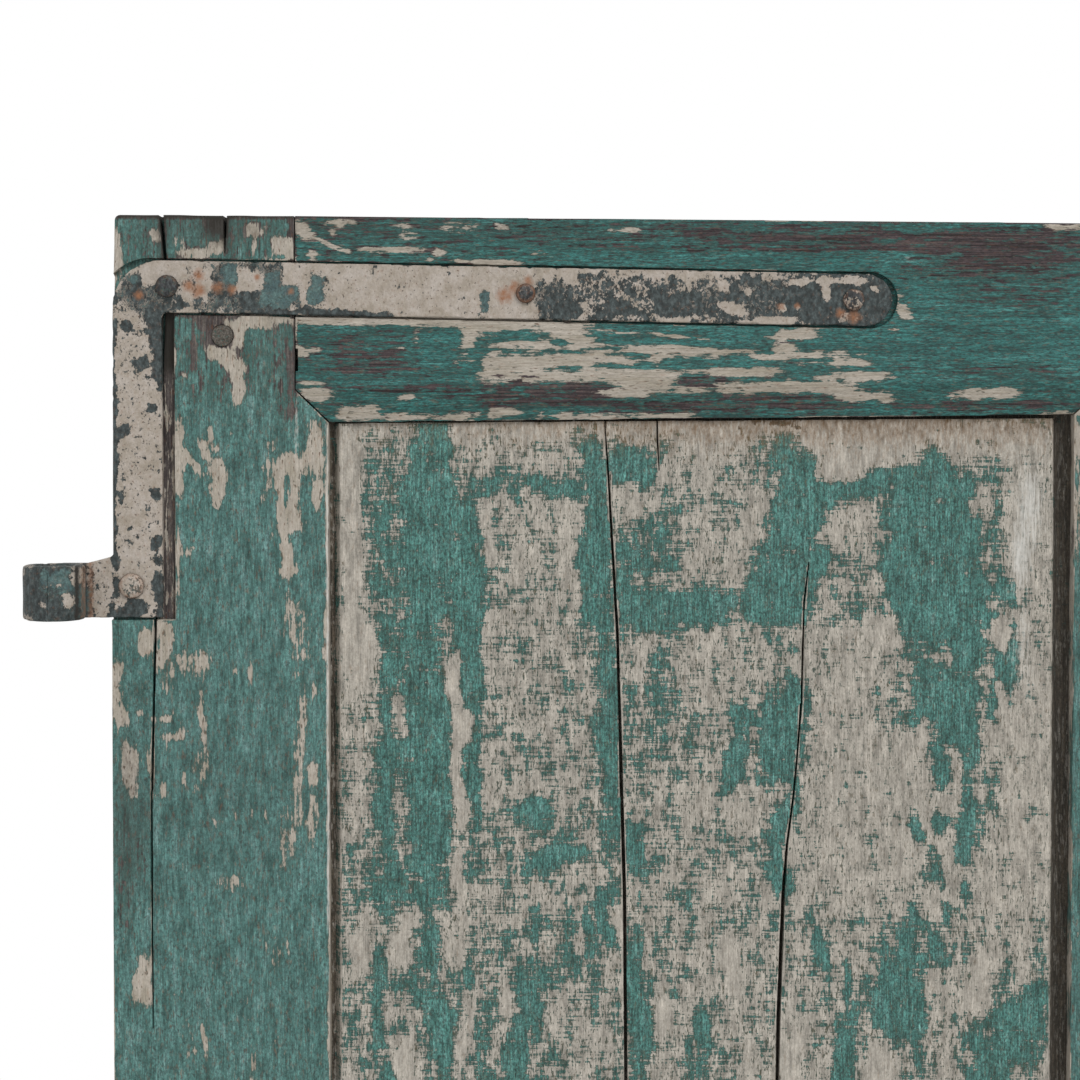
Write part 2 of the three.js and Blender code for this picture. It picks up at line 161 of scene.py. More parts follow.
stilePaint = {
    # brushed oil paint, chalky with age: sharp-edged chips down to the undercoat
    "grain": "z",
    "top": ["#2e4e49", "#426762", "#537b76", "#688986"],
    # dirt and painted shade at the broken edge of the top coat
    "thin": "#36514a",
    "under": ["#968e80", "#a49c90", "#aea69b"],
    "bare": ["#383231", "#524b49", "#67605a"],
    "pore": "#54574e",
    "poresFollowPaint": False,
    # painted sheen: a near-white colour laid on as a glossy highlight
    "bleached": "#c3c1bb",
    # one dark colour for dirt and for painted shade
    "grime": "#2a2722",
    "rust": "#8a5230",
    "patterns": {  # across and along the grain in mm, octaves, roughness
        "chip": (2.6, 5.4, 5, 0.68),
        "streak": (1.1, 16, 3, 0.6),
        "tone": (5, 20, 6, 0.72),
        "fine": (0.7, 10, 3, 0.7),
        "pore": (1.0, 3.5, 1, 0.5),
        "grain": (1.2, 45, 3, 0.6),
        "speck": (1.1, 2.2, 3, 0.6),
        "grit": (1.2, 1.8, 3, 0.85),
    },
    "topEdge": {"chip": 1.7, "streak": 1.3},
    "underEdge": {"chip": 1.0, "streak": 1.5},
    "poreFrom": 0.66,
    "speckFrom": 0.62,
    "speck": "#37403c",
    "speckDepth": 0.8,
    "shade": 0.45,
    "grit": 0.52,
    "topThick": 0.10,
    "underThick": 0.12,
    "grainDepth": 0.25,
    "bareRough": 0.85,
    "metallic": 0.0,
}

railPaint = {
    **stilePaint,
    # the same paint on the rail, where the weather has lifted it in lines along the grain
    "grain": "x",
    "top": ["#1b413e", "#275a56", "#316b67", "#427a76"],
    "thin": "#27433e",
    "bare": ["#282221", "#40373a", "#594d4a"],
    "speck": "#233432",
    "speckFrom": 0.57,
    "grit": 0.66,
    "patterns": {
        "chip": (2.1, 6, 5, 0.68),
        "streak": (1.4, 20, 4, 0.6),
        "tone": (3.2, 40, 6, 0.72),
        "fine": (0.7, 12, 3, 0.7),
        "pore": (0.8, 4, 1, 0.5),
        "grain": (1.0, 50, 3, 0.6),
        "speck": (0.9, 4, 3, 0.65),
        "grit": (0.8, 2.6, 3, 0.85),
    },
    "topEdge": {"chip": 1.6, "streak": 1.5, "fine": 0.5},
    "underEdge": {"chip": 1.4, "streak": 1.7},
}

panelPaint = {
    **stilePaint,
    # scraped boards: the blade left the paint in the pores, as short dark dashes along the grain
    "top": ["#2b4d46", "#406d66", "#4d7d76", "#658c86"],
    "thin": "#283f37",
    "under": ["#89847b", "#a39d93", "#b5aea3"],
    "bare": ["#3c372f", "#554e44", "#6a6053"],
    "pore": "#2f4038",
    "rust": "#775733",  # here a warm, darker band along the panel's top, under the rail
    "poresFollowPaint": True,
    "patterns": {
        "chip": (2.0, 4.5, 5, 0.65),
        "streak": (1.1, 8, 3, 0.65),
        "tone": (4, 12, 6, 0.72),
        "fine": (0.7, 14, 3, 0.7),
        "pore": (0.85, 3.2, 3, 0.6),
        "grain": (1.1, 40, 3, 0.6),
        "speck": (0.9, 2.4, 3, 0.6),
        "scrape": (15, 1.0, 3, 0.65),
        "cluster": (8, 15, 3, 0.6),
        "grit": (1.0, 1.6, 3, 0.85),
    },
    "topEdge": {"chip": 1.0, "streak": 1.0, "scrape": 1.2, "cluster": 1.5},
    "underEdge": {"chip": 1.2, "streak": 1.2},
    "poreFrom": 0.585,
    "speckFrom": 0.6,
    "speckDepth": 0.6,
    "shade": 0.55,
    "grit": 0.74,
}

strapPaint = {
    **stilePaint,
    # forged iron under flaking paint: pale flakes with dark pits, slate where the paint has gone
    "top": ["#34474a", "#43595a", "#4f6866", "#5f7572"],
    "thin": "#39423f",
    "under": ["#948a7d", "#a3998e", "#ada49b"],
    "bare": ["#1f2423", "#343c3c", "#4b5454"],
    "pore": "#4b4840",
    # one dark colour for dirt and for painted shade
    "grime": "#2c2824",
    "rust": "#8b6044",
    "patterns": {
        "chip": (2.4, 2.8, 6, 0.7),
        "streak": (1.1, 1.5, 3, 0.6),
        "tone": (7, 9, 6, 0.75),
        "fine": (1.4, 1.8, 3, 0.7),
        "pore": (1.9, 2.1, 3, 0.65),
        "grain": (2.4, 4, 4, 0.7),
        "speck": (0.9, 1, 2, 0.6),
        "grit": (1.1, 1.1, 3, 0.85),
    },
    "topEdge": {"chip": 1.6, "streak": 1.2},
    "underEdge": {"chip": 1.9, "streak": 1.2},
    "poreFrom": 0.63,
    "shade": 0.22,
    "grit": 0.36,
    "topThick": 0.08,
    "underThick": 0.26,
    "grainDepth": 0.4,
    "bareRough": 0.62,
}

nailIron = {
    **strapPaint,
    # hand-forged heads, oxidised dark, with rust in the seat and rubbed bright on top
    "top": ["#3c4a48", "#4c5b59", "#5a6866"],
    "bare": ["#1d1e1f", "#323435", "#4f5354"],
    "underThick": 0.1,
    "metallic": 0.35,
    "bareRough": 0.5,
}

pegWood = {
    **stilePaint,
    # end grain of an oak peg, weathered grey-brown, with paint left in its rim
    "bare": ["#3f3a33", "#54504a", "#66625b"],
    "patterns": {
        "chip": (2.2, 2.2, 4, 0.65),
        "streak": (0.9, 0.9, 3, 0.6),
        "tone": (3, 3, 5, 0.7),
        "fine": (0.8, 0.8, 3, 0.7),
        "pore": (0.7, 0.7, 1, 0.5),
        "grain": (1.0, 1.0, 3, 0.6),
        "speck": (0.9, 0.9, 1, 0.5),
        "grit": (1.0, 1.0, 3, 0.85),
    },
}


films = {  # what lies over the coats, among it a painted sheen, and dirt with painted shade: the patterns that break it up, and how far it fades
    # painted sheen: highlights laid on in near-white
    "bleached": ({"chip": 1.1, "fine": 1.1}, 0.24),
    "rust": ({"chip": 1.0, "pore": 0.9}, 0.42),
    # dirt and painted shade
    "grime": ({"chip": 0.9, "fine": 0.7}, 0.28),
}

paintHabits = {  # what all the paints have in common; every share goes from 0 to 1
    "apart": 17.3,
    "topFade": 0.04,
    "underFade": 0.06,
    "toneSpread": 0.13,
    "topToneSpread": 0.17,
    "lines": (0.35, 0.65, 0.7),  # the pattern's range, and how much less they lighten than darken
    "bareLines": 0.25,
    "bareGrit": 0.8,
    "underLines": 0.4,
    "underGrit": 0.28,
    "pores": (0.03, 0.9),  # how far they fade, and how dark they are
    "poresKept": (0.1, 0.24),  # the shares of the top coat between which they come in
    "rim": (-0.13, -0.02, 0.45),  # dirt and painted shade along the top coat's broken edge, on the undercoat
    "specks": (-0.05, 0.04),
    "edgeDarkening": (0.3, 0.85),  # dirt and painted shade inside the top coat's broken edge: how far in it reaches, and how dark it is at the edge
    "topRough": 0.6,
    "specular": 0.35,
    "relief": 0.8,
}


def layeredPaint(name, look, habits):
    material = bpy.data.materials.new(name)
    material.use_nodes = True
    tree = material.node_tree
    tree.nodes.clear()
    place = addNode(tree, "TexCoord").outputs["Object"]
    pattern = {}
    for order, (title, (across, along, octaves, rough)) in enumerate(look["patterns"].items()):
        sizes = [along if axis == look["grain"] else across for axis in "xyz"]
        apart = [habits["apart"] * order + 3] * 3  # so that no two patterns run together
        stretched = addNode(
            tree,
            "Mapping",
            {"Scale": [1 / (size * mm) for size in sizes], "Location": apart},
            {"Vector": place},
        )
        noise = {"Scale": 1, "Detail": octaves, "Roughness": rough}
        noise = addNode(tree, "TexNoise", noise, {"Vector": stretched})
        pattern[title] = noise.outputs[0]

    def coatShare(coat):
        return addNode(tree, "Attribute", {"attribute_name": coat}).outputs["Fac"]

    def ranged(value, low, high, toLow=0.0, toHigh=1.0):
        limits = {"From Min": low, "From Max": high, "To Min": toLow, "To Max": toHigh}
        return addNode(tree, "MapRange", limits, {"Value": value})

    def scaled(value, amount, added=None):
        if added is None:
            return addNode(tree, "Math", {"operation": "MULTIPLY", 1: amount}, {0: value})
        both = {"operation": "MULTIPLY_ADD", 1: amount}
        return addNode(tree, "Math", both, {0: value, 2: added})

    def broken(coat, edges, fade):
        # where a coat's share plus the ragged patterns stays above the middle, the coat is there
        share, middle = coatShare(coat), 0.5
        for title, amount in edges.items():
            share = scaled(pattern[title], amount, share)
            middle += amount / 2
        return share, ranged(share, middle - fade, middle + fade), middle

    def toned(codes, title, spread):
        ramp = addNode(tree, "ValToRGB", {}, {"Fac": pattern[title]})
        stops = ramp.color_ramp.elements
        while len(stops) < len(codes):
            stops.new(0.5)
        for at, code in enumerate(codes):
            stops[at].position = 0.5 - spread + 2 * spread * at / (len(codes) - 1)
            stops[at].color = paintColour(code)
        return ramp

    def mixed(first, second, share):
        links = {"Fac": share, "Color1": first}
        if isinstance(second, str):  # one plain colour
            return addNode(tree, "MixRGB", {"Color2": paintColour(second)}, links)
        return addNode(tree, "MixRGB", {}, {**links, "Color2": second})

    def lined(colour, title, depth):
        low, high, lighter = habits["lines"]
        lines = ranged(pattern[title], low, high, 1 - depth, 1 + depth * lighter)
        multiply = {"blend_type": "MULTIPLY", "Fac": 1.0}
        return addNode(tree, "MixRGB", multiply, {"Color1": colour, "Color2": lines})

    topShare, topLeft, topMiddle = broken("topCoat", look["topEdge"], habits["topFade"])
    underLeft = broken("underCoat", look["underEdge"], habits["underFade"])[1]

    bare = lined(toned(look["bare"], "grain", habits["toneSpread"]), "fine", habits["bareLines"])
    bare = lined(bare, "grit", look["grit"] * habits["bareGrit"])

    fade, dark = habits["pores"]
    pores = ranged(pattern["pore"], look["poreFrom"], look["poreFrom"] + fade, 0, dark)
    if look["poresFollowPaint"]:  # a blade that took all the paint took it from the pores too
        kept = ranged(coatShare("topCoat"), *habits["poresKept"])
        pores = addNode(tree, "Math", {"operation": "MULTIPLY"}, {0: pores, 1: kept})
    under = toned(look["under"], "tone", habits["toneSpread"])
    under = lined(under, "fine", look["shade"] * habits["underLines"])
    under = lined(under, "grit", look["grit"] * habits["underGrit"])
    under = mixed(under, look["pore"], pores)
    # dirt and painted shade on the undercoat beside the top coat's broken edge
    start, end, dark = habits["rim"]
    rim = ranged(topShare, topMiddle + start, topMiddle + end, 0, dark)
    under = mixed(under, look["pore"], rim)

    top = lined(toned(look["top"], "tone", habits["topToneSpread"]), "fine", look["shade"])
    start, end = (look["speckFrom"] + step for step in habits["specks"])
    specks = ranged(pattern["speck"], start, end, 0, look["speckDepth"])
    top = lined(mixed(top, look["speck"], specks), "grit", look["grit"])
    # dirt and painted shade just inside the top coat's broken edge
    reach, dark = habits["edgeDarkening"]
    top = mixed(top, look["thin"], ranged(topShare, topMiddle, topMiddle + reach, dark, 0))

    colour = mixed(mixed(bare, under, underLeft), top, topLeft)
    for film, (edges, fade) in films.items():
        colour = mixed(colour, look[film], broken(film, edges, fade)[1])

    height = scaled(pattern["fine"], look["grainDepth"])
    height = scaled(underLeft, look["underThick"], height)
    height = scaled(topLeft, look["topThick"], height)
    relief = {"Strength": habits["relief"], "Distance": mm}
    bump = addNode(tree, "Bump", relief, {"Height": height})
    roughness = ranged(topLeft, 0, 1, look["bareRough"], habits["topRough"])
    surface = addNode(
        tree,
        "BsdfPrincipled",
        {"Metallic": look["metallic"], "Specular IOR Level": habits["specular"]},
        {"Base Color": colour, "Roughness": roughness, "Normal": bump},
    )
    addNode(tree, "OutputMaterial", {}, {"Surface": surface})
    return material


materials = {
    kind: layeredPaint(name, look, paintHabits)
    for kind, name, look in (
        ("stile", "brushed_teal_paint_on_stile", stilePaint),
        ("rail", "lifted_teal_paint_on_rail", railPaint),
        ("panel", "scraped_teal_paint_on_board", panelPaint),
        ("strap", "flaking_paint_on_forged_iron", strapPaint),
        ("nail", "forged_nail_iron", nailIron),
        ("peg", "weathered_peg_end_grain", pegWood),
    )
}
print("paints mixed")

coats = {  # share of the top coat and of the undercoat that is left
    "teal": (1.0, 1.0),
    "flecked": (0.66, 1.0),
    "mottled": (0.5, 1.0),
    "scraped": (0.34, 1.0),
    "chalk": (0.04, 1.0),
    "streaked": (0.62, 0.42),
    "wood": (0.1, 0.1),
    "dark": (0.47, 0.1),
    "stripped": (0.36, 0.1),
    "dull": (0.68, 0.24),
    "slate": (0.03, 0.09),
    "speckled": (0.06, 0.46),
    "flaked": (0.25, 0.36),
    "cream": (0.03, 1.0),
    "mixed": (0.4, 0.5),
    "brushed": (0.2, 1.0),
    "woven": (0.44, 1.0),
}

# a coat, then its patches: across, down, half the width, half the height, and where it leans, mm
# across per mm down; the later rows lie over the earlier ones
hingeStilePatches = [
    ("dull", (50, 12, 52, 13), (62, 72, 34, 24)),
    ("streaked", (91, 90, 5, 20), (53, 78, 2.6, 12)),
    ("wood", (94.3, 45, 1.8, 60)),
    ("chalk", (4, 22, 2.4, 14), (23, 8.6, 2, 3)),
    ("dark", (54, 4, 6, 6)),
    ("flecked", (36, 13, 3.5, 4)),
    ("chalk", (47.5, 18, 9.5, 3.6), (76.6, 8.4, 4.3, 3.6), (76, 17, 1.5, 6)),
    ("chalk", (88.7, 17.5, 4.6, 4.6, -0.3), (85, 22, 8.5, 1.4)),
    ("wood", (53, 56, 9.5, 4.4), (58, 64, 9, 8)),
    ("chalk", (79, 56, 17, 3.4), (90, 60, 4, 3.5), (68, 64, 2.4, 6), (59.5, 71.5, 7.5, 4.5, 0.5)),
    ("chalk", (65.5, 80, 4.6, 8, 0.1), (67, 90, 3.4, 7.5)),
    ("streaked", (89, 63, 6.5, 8)),
    ("wood", (43.6, 65, 0.9, 13)),
    ("chalk", (38.8, 82.6, 1.2, 1.6), (32.8, 74, 1.4, 6), (34.8, 128, 2.3, 16)),
    ("chalk", (38, 126.5, 3, 3.4, 0.4), (50, 122, 5.2, 3.6)),
    ("teal", (50.2, 122.4, 1.8, 1.2)),
    ("chalk", (45, 133.4, 2.6, 4, 0.5), (49, 127, 2, 3), (54, 136, 4.4, 8.5, 0.1)),
    ("chalk", (55.4, 146, 2.1, 5), (51.5, 113.7, 1, 2.6), (48.4, 108.3, 1, 1.8)),
    ("mottled", (82, 134, 3, 14)),
    ("chalk", (93, 137, 8.4, 11), (93, 156, 7, 10, -0.02), (92, 177, 4.2, 12.5)),
    ("teal", (92.3, 142, 0.8, 8)),
    ("chalk", (84.2, 164, 1.3, 5), (105.5, 121, 4.8, 13)),
    ("teal", (103.6, 145, 3, 9.5, 0.05)),
    ("chalk", (108.2, 144, 2, 10)),
    ("mottled", (95.8, 210, 6, 11)),
    ("chalk", (40.7, 176, 2.3, 2.8, -0.4), (34.2, 188, 0.9, 16)),
    ("teal", (13, 212, 12, 3.4)),
    ("chalk", (17.2, 217, 4.4, 3.6), (28.2, 215, 4.8, 6), (27, 226, 3.4, 9, -0.2)),
    ("chalk", (17, 222, 3.4, 6, -0.2)),
    ("mottled", (30, 238, 4, 10, -0.4)),
    ("chalk", (4, 238, 3.4, 9.5)),
    ("scraped", (3.4, 256, 3, 9), (43.6, 233, 8, 8.6)),
    ("chalk", (27, 261, 4.5, 2.6, -1.1), (32, 271, 5, 1.8, -1.4), (6, 262, 4, 5)),
    ("chalk", (13.4, 260, 2.8, 3, -0.7), (9.4, 289, 4.6, 12, -0.1)),
    ("scraped", (19.4, 289, 1.2, 12)),
    ("chalk", (47, 264, 1.2, 10)),
    ("mottled", (46, 290, 4, 11)),
    ("scraped", (25.4, 294, 1.3, 8)),
    ("mottled", (37, 296, 1.8, 5), (99, 228, 6.4, 5)),
    ("scraped", (98, 272, 2.6, 29, -0.03)),
    ("mottled", (94, 315, 4.4, 13, -0.15), (90.2, 335, 2.8, 5.5, -0.3)),
    ("chalk", (104, 292, 2.4, 8)),
    ("scraped", (103.7, 315, 2.6, 16), (105, 246, 1.2, 5)),
    ("mottled", (59, 350, 7, 4)),
    ("chalk", (64.5, 237, 0.7, 4, 0.2), (72.4, 241, 0.7, 5)),
    ("flecked", (79, 245, 1.4, 6)),
    ("chalk", (79.8, 311, 1, 5), (54.4, 316, 1.6, 3, 0.4), (64.2, 314, 0.6, 3), (72, 312, 1, 4)),
    # along the inner arris the undercoat shows, as wear and as a painted highlight
    ("chalk", (112.4, 200, 0.9, 200)),
    ("dull", (9, 335, 8, 24)),
    ("streaked", (6, 350, 4, 26)),
]

topRailPatches = [
    ("teal", (440, 60, 66, 24)),
    ("streaked", (150, 12, 56, 12), (260, 10, 60, 8)),
    ("stripped", (382, 11.5, 66, 2.2), (410, 17.5, 95, 2.4)),
    ("dark", (350, 7.5, 44, 2.6)),
    ("stripped", (464, 20, 42, 13)),
    ("streaked", (440, 4.4, 60, 2.4)),
    ("teal", (358, 24.5, 42, 4.4)),
    ("streaked", (424, 27, 18, 5), (468, 41, 28, 10), (460, 80, 36, 3.4)),
    ("dark", (455, 99, 40, 2.2)),
    ("chalk", (104.4, 9, 3.4, 4.4), (118.6, 15.2, 2.6, 3.4, 3), (106, 22, 3.6, 2.2)),
    ("chalk", (123, 4.8, 5.4, 1.3), (122.4, 8.6, 1.9, 2.4), (146, 18.8, 9.8, 1.4)),
    ("mottled", (147, 6, 5, 1.9), (150.5, 10.6, 2.6, 2.8)),
    ("chalk", (169.6, 19.8, 5.4, 1.7), (158.6, 23.6, 3, 1.3), (195, 25, 10, 1.2, 4)),
    ("mottled", (182, 6.8, 8.6, 2.5)),
    ("chalk", (201.6, 6, 2.3, 1.2)),
    ("mottled", (222, 19.6, 4, 1)),
    ("chalk", (268.6, 8, 7.4, 0.9), (498, 6.4, 6, 1.6), (150, 54.6, 58, 2.4), (192, 56.5, 26, 3.6)),
    ("teal", (108, 80, 12, 6)),
    ("dull", (140, 74, 44, 13)),
    ("dark", (132, 72, 16, 9), (136, 81, 22, 1.3)),
    ("stripped", (150, 90.4, 52, 1.5)),
    ("teal", (172, 69, 9, 10)),
    ("chalk", (100.4, 71.6, 3.4, 2.6), (108.4, 70, 2, 1.2), (146, 68.8, 4, 0.9)),
    ("chalk", (159.6, 70, 2.6, 6.8), (184, 64, 5, 6)),
    ("mottled", (185, 73, 3, 6)),
    ("chalk", (105, 87.2, 8, 1), (110, 93.2, 8, 2.8), (156, 94.6, 5, 1.5), (130, 103, 13, 3.6)),
    ("chalk", (153, 105, 9.4, 1.8), (178.6, 104.8, 7.6, 2.1)),
    ("stripped", (200, 95.8, 14, 2.6)),
    ("chalk", (199, 103.4, 6, 3.3, -0.8), (210, 102.4, 6, 1.6), (228, 72, 31, 17)),
    ("teal", (194, 81, 4.4, 12), (212, 63, 15, 2.8), (233.5, 66, 3.8, 1.1)),
    ("flecked", (236, 70.4, 32, 1.9), (214, 73, 12, 1.3)),
    ("mottled", (226, 80.8, 9, 1.5)),
    ("wood", (210.8, 84, 4, 1.3)),
    ("teal", (266, 79, 20, 2.7), (300, 63.6, 42, 4.8)),
    ("chalk", (288, 62.6, 9, 1.9, 12), (293, 70.4, 27, 2.2)),
    ("mottled", (298, 73.6, 20, 1.6)),
    ("teal", (308, 77.3, 24, 2.2)),
    ("chalk", (240, 75.6, 42, 1.7), (274, 86, 27, 5.6)),
    ("mottled", (312, 81, 15, 1.6)),
    ("dark", (311, 86.6, 17, 3.8), (232, 90.4, 26, 4.2)),
    ("stripped", (226, 95.8, 33, 3.8)),
    ("dark", (292, 98.8, 40, 4.6)),
    ("chalk", (268, 92.6, 15, 1.8), (308, 90.6, 12, 1.6)),
    ("dark", (350, 98, 38, 4)),
    ("chalk", (246, 104.7, 19.4, 1.5), (289, 104.4, 20, 1.4), (327, 70.7, 10, 1.7)),
    ("chalk", (334, 81.3, 17, 1.8), (361, 61.6, 11, 3, -1.2), (357, 68.6, 6.4, 1.8)),
    ("chalk", (361, 73, 23, 1.8), (382, 77, 15, 1.5), (387, 83.6, 15.6, 2.2), (355, 89.4, 30, 2.7)),
    ("chalk", (392, 94, 12, 3, 1.4), (411, 51, 4.6, 3.8), (409.6, 42.6, 2.4, 1.2), (399, 60, 2, 1)),
    ("chalk", (454.5, 92.8, 16.5, 2.3), (495, 103.4, 6, 1.2)),
]

hingeBoardPatches = [
    ("woven", (190, 240, 76, 130)),
    ("chalk", (190, 109.5, 76, 6.5), (123.5, 160, 7, 55)),
    ("scraped", (210, 123, 40, 11)),
    ("mottled", (145.5, 123.5, 10, 10)),
    ("flecked", (145, 165, 14, 32)),
    ("teal", (163, 172, 10.5, 60), (168, 119, 9, 9), (183, 170, 13, 32), (187, 207, 14, 4)),
    ("teal", (185, 223, 6, 10)),
    ("flecked", (143, 212, 11, 20)),
    ("chalk", (126, 222, 8, 18)),
    ("flecked", (188, 141, 13, 6)),
    ("teal", (232, 142, 22, 6)),
    ("chalk", (197, 157, 3, 8), (196, 174.5, 2.4, 7)),
    ("scraped", (224, 178, 20, 29)),
    ("brushed", (241, 156, 8, 8), (208, 192, 8, 6), (237, 186, 6, 20)),
    ("teal", (251, 128, 5, 10), (254, 152, 6, 20), (252, 188, 9, 26), (260, 270, 6, 62, 0.03)),
    ("scraped", (222, 218, 24, 8)),
    ("chalk", (127, 246, 9, 24)),
    ("scraped", (129, 290, 10, 40)),
    ("mottled", (129.5, 338, 11, 14)),
    ("teal", (149, 290, 10, 72)),
    ("mottled", (149, 265, 5, 20), (152, 318, 5, 28)),
    ("teal", (166.5, 290, 10, 72)),
    ("chalk", (178.6, 246, 3.6, 11), (180, 300, 3.4, 58)),
    ("teal", (187, 270, 4, 50)),
    ("chalk", (182, 270, 5, 6)),
    ("woven", (224, 290, 30, 62)),
    ("scraped", (214, 250, 18, 14), (206, 304, 13, 7), (240, 285, 8, 26)),
    ("teal", (221, 318, 9, 8)),
    ("mottled", (205, 332, 15, 9)),
    ("teal", (231, 339, 14, 5)),
    ("brushed", (246, 350, 9, 6)),
]

lockBoardPatches = [
    ("woven", (310, 240, 54, 130)),
    ("brushed", (425, 280, 66, 90)),
    ("chalk", (374, 111, 120, 7), (440, 120, 56, 9)),
    ("dark", (345, 110, 12, 1.8)),
    ("teal", (272, 137, 13, 12)),
    ("flecked", (278, 180, 22, 22)),
    ("brushed", (272.4, 154, 8.5, 8)),
    ("scraped", (311, 131, 24, 16)),
    ("brushed", (305, 120, 20, 6)),
    ("teal", (296, 200, 42, 7), (296, 210, 28, 8)),
    ("scraped", (317, 176, 20, 20), (310, 172, 10, 10)),
    ("teal", (357, 146, 18, 24), (366, 172, 18, 12), (352, 192, 16, 17), (382, 137, 30, 8)),
    ("chalk", (381, 126, 12, 8)),
    ("brushed", (335, 160, 7, 24, -0.3)),
    ("scraped", (390, 165, 16, 22)),
    ("brushed", (378, 164, 7, 6, -1)),
    ("mottled", (384, 198, 14, 16)),
    ("teal", (431, 165, 26, 38), (437, 215, 23, 30), (420, 195, 16, 16), (436, 254, 20, 12)),
    ("teal", (442, 271, 12, 9), (448, 305, 4.4, 30, -0.02), (433, 288, 4.4, 9)),
    ("mottled", (461, 310, 8, 24), (430, 228, 10, 6)),
    ("brushed", (478, 160, 15, 40), (480, 290, 14, 80)),
    ("flecked", (462, 160, 4, 30)),
    ("teal", (467, 192, 5, 7), (467, 234, 7, 13)),
    ("chalk", (465, 214, 4.4, 11)),
    ("teal", (471, 219, 1.8, 14), (461.5, 252, 2.4, 9), (314, 207, 9, 8), (347, 205, 15, 8)),
    ("flecked", (288, 233, 9, 16, -0.35)),
    ("scraped", (271, 232, 7, 16)),
    ("flecked", (288, 272, 6.5, 20, -0.2)),
    ("mottled", (301, 275, 7, 16), (275, 296, 9, 16)),
    ("scraped", (318, 236, 26, 18)),
    ("brushed", (322, 306, 24, 18)),
    ("teal", (330, 260, 8, 7), (325, 284, 5, 18, -0.3), (351, 266, 11, 25, -0.12)),
    ("teal", (352.5, 312, 6, 14, -0.2), (348, 338, 7.5, 17, 0.1), (272.5, 334, 6, 11)),
    ("mottled", (308, 330, 9, 9), (331, 328, 12, 5)),
    ("scraped", (300, 348, 34, 8)),
    ("mottled", (395, 322, 9, 4), (406, 260, 8, 8), (410, 240, 9, 9)),
    ("teal", (422, 321.5, 3.4, 8), (434, 316, 4, 6)),
    ("flecked", (430, 345, 5, 12)),
    ("teal", (447, 351, 3, 6)),
    ("brushed", (454.6, 147, 5, 9)),
]


patchOutline = {  # sizes in mm of what makes a patch's outline wander and break up
    "wander": (15, 15, 22),
    "broken": (((6, 6, 6), 2.6), ((2.6, 2.6, 3.2), 1.8)),  # lumps and crumbs, and how much
    "corner": 3,  # 2 would make every patch an ellipse, more makes it squarer
    "smallest": (1.2, 1),  # keeps the small patches from fraying away, and from fading
}


def coatsOn(places, base, patches, seed, soft, drift, rough):
    # the base coat with each patch laid over the ones before it
    left = np.outer(base, np.ones(len(places)))
    wander = [2 * (softNoise(places, patchOutline["wander"], seed + 2 + i) - 0.5) for i in (0, 1)]
    across = places[:, 0] + drift[0] * wander[0]
    down = places[:, 2] + drift[1] * wander[1]
    outline = 0
    for later, (size, amount) in enumerate(patchOutline["broken"]):
        outline += amount * (softNoise(places, size, seed + later) - 0.5)
    corner = patchOutline["corner"]
    frayed, faded = patchOutline["smallest"]
    each = [(coat, *shape) for coat, *shapes in patches for shape in shapes]
    for coat, atAcross, atDown, halfAcross, halfDown, *lean in each:
        below = down - atDown
        slid = across - atAcross - (lean[0] if lean else 0) * below
        away = np.abs(slid / halfAcross) ** corner + np.abs(below / halfDown) ** corner
        away = away ** (1 / corner)
        small = min(halfAcross, halfDown)
        ragged = rough * outline / (small + frayed)
        blend = soft + frayed / (small + faded)
        weight = 1 - smoothStep(1 - blend, 1 + blend, away + ragged)
        layOver(left, weight, coats[coat])
    return left


scatter = {
    "mostlySmall": 1.7,  # 1 would make every size as common
    "slim": (0.6, 1.5),
    "lean": 0.25,
}


def strewnPatches(seed, box, count, kinds, sizes, stretch):
    # for what the photograph doesn't show: the same wear, scattered over a face
    draw = np.random.default_rng(seed)
    found = []
    for _ in range(count):
        size = sizes[0] + (sizes[1] - sizes[0]) * draw.random() ** scatter["mostlySmall"]
        slim = draw.uniform(*scatter["slim"])
        coat = kinds[draw.integers(len(kinds))]
        place = draw.uniform(box[0], box[1]), draw.uniform(box[2], box[3])
        halves = size * stretch[0] * slim, size * stretch[1] / slim
        found.append((coat, (*place, *halves, draw.uniform(-scatter["lean"], scatter["lean"]))))
    return found


timberLook = {
    "closeGrid": {  # mm between the mesh's rows, across and down, where the photograph looks
        "stile": (1.4, 3.2),
        "rail": (3.6, 1.1),
        "panel": (1.9, 2.4),
    },
    "middleGrid": (5, 5),
    "wideGrid": (9, 9),
    "closeDown": 372,  # how far down from the top the close rows go
    "arrisRow": 0.9,  # mm from an arris to the row that rounds it
    "depthRow": 4,  # mm behind the face
    "arrisTurn": 0.35,  # the least angle between two faces, in radians, that wears like an arris
    "arrisWear": (0.133, 0.418),  # mm: everywhere, and how much more where it is chipped
    "chips": ((9, 9, 14), 0.35, 0.8),  # their size, and the noise's range
    "hollow": 0.22,  # how deep the face is worn in waves
    "hollows": (17, 0.3, 0.8),
    "merge": (1e-6, 2e-5),  # metres: before and after the cuts
    "flat": 0.3,  # degrees
    "smoothBelow": 28,
}

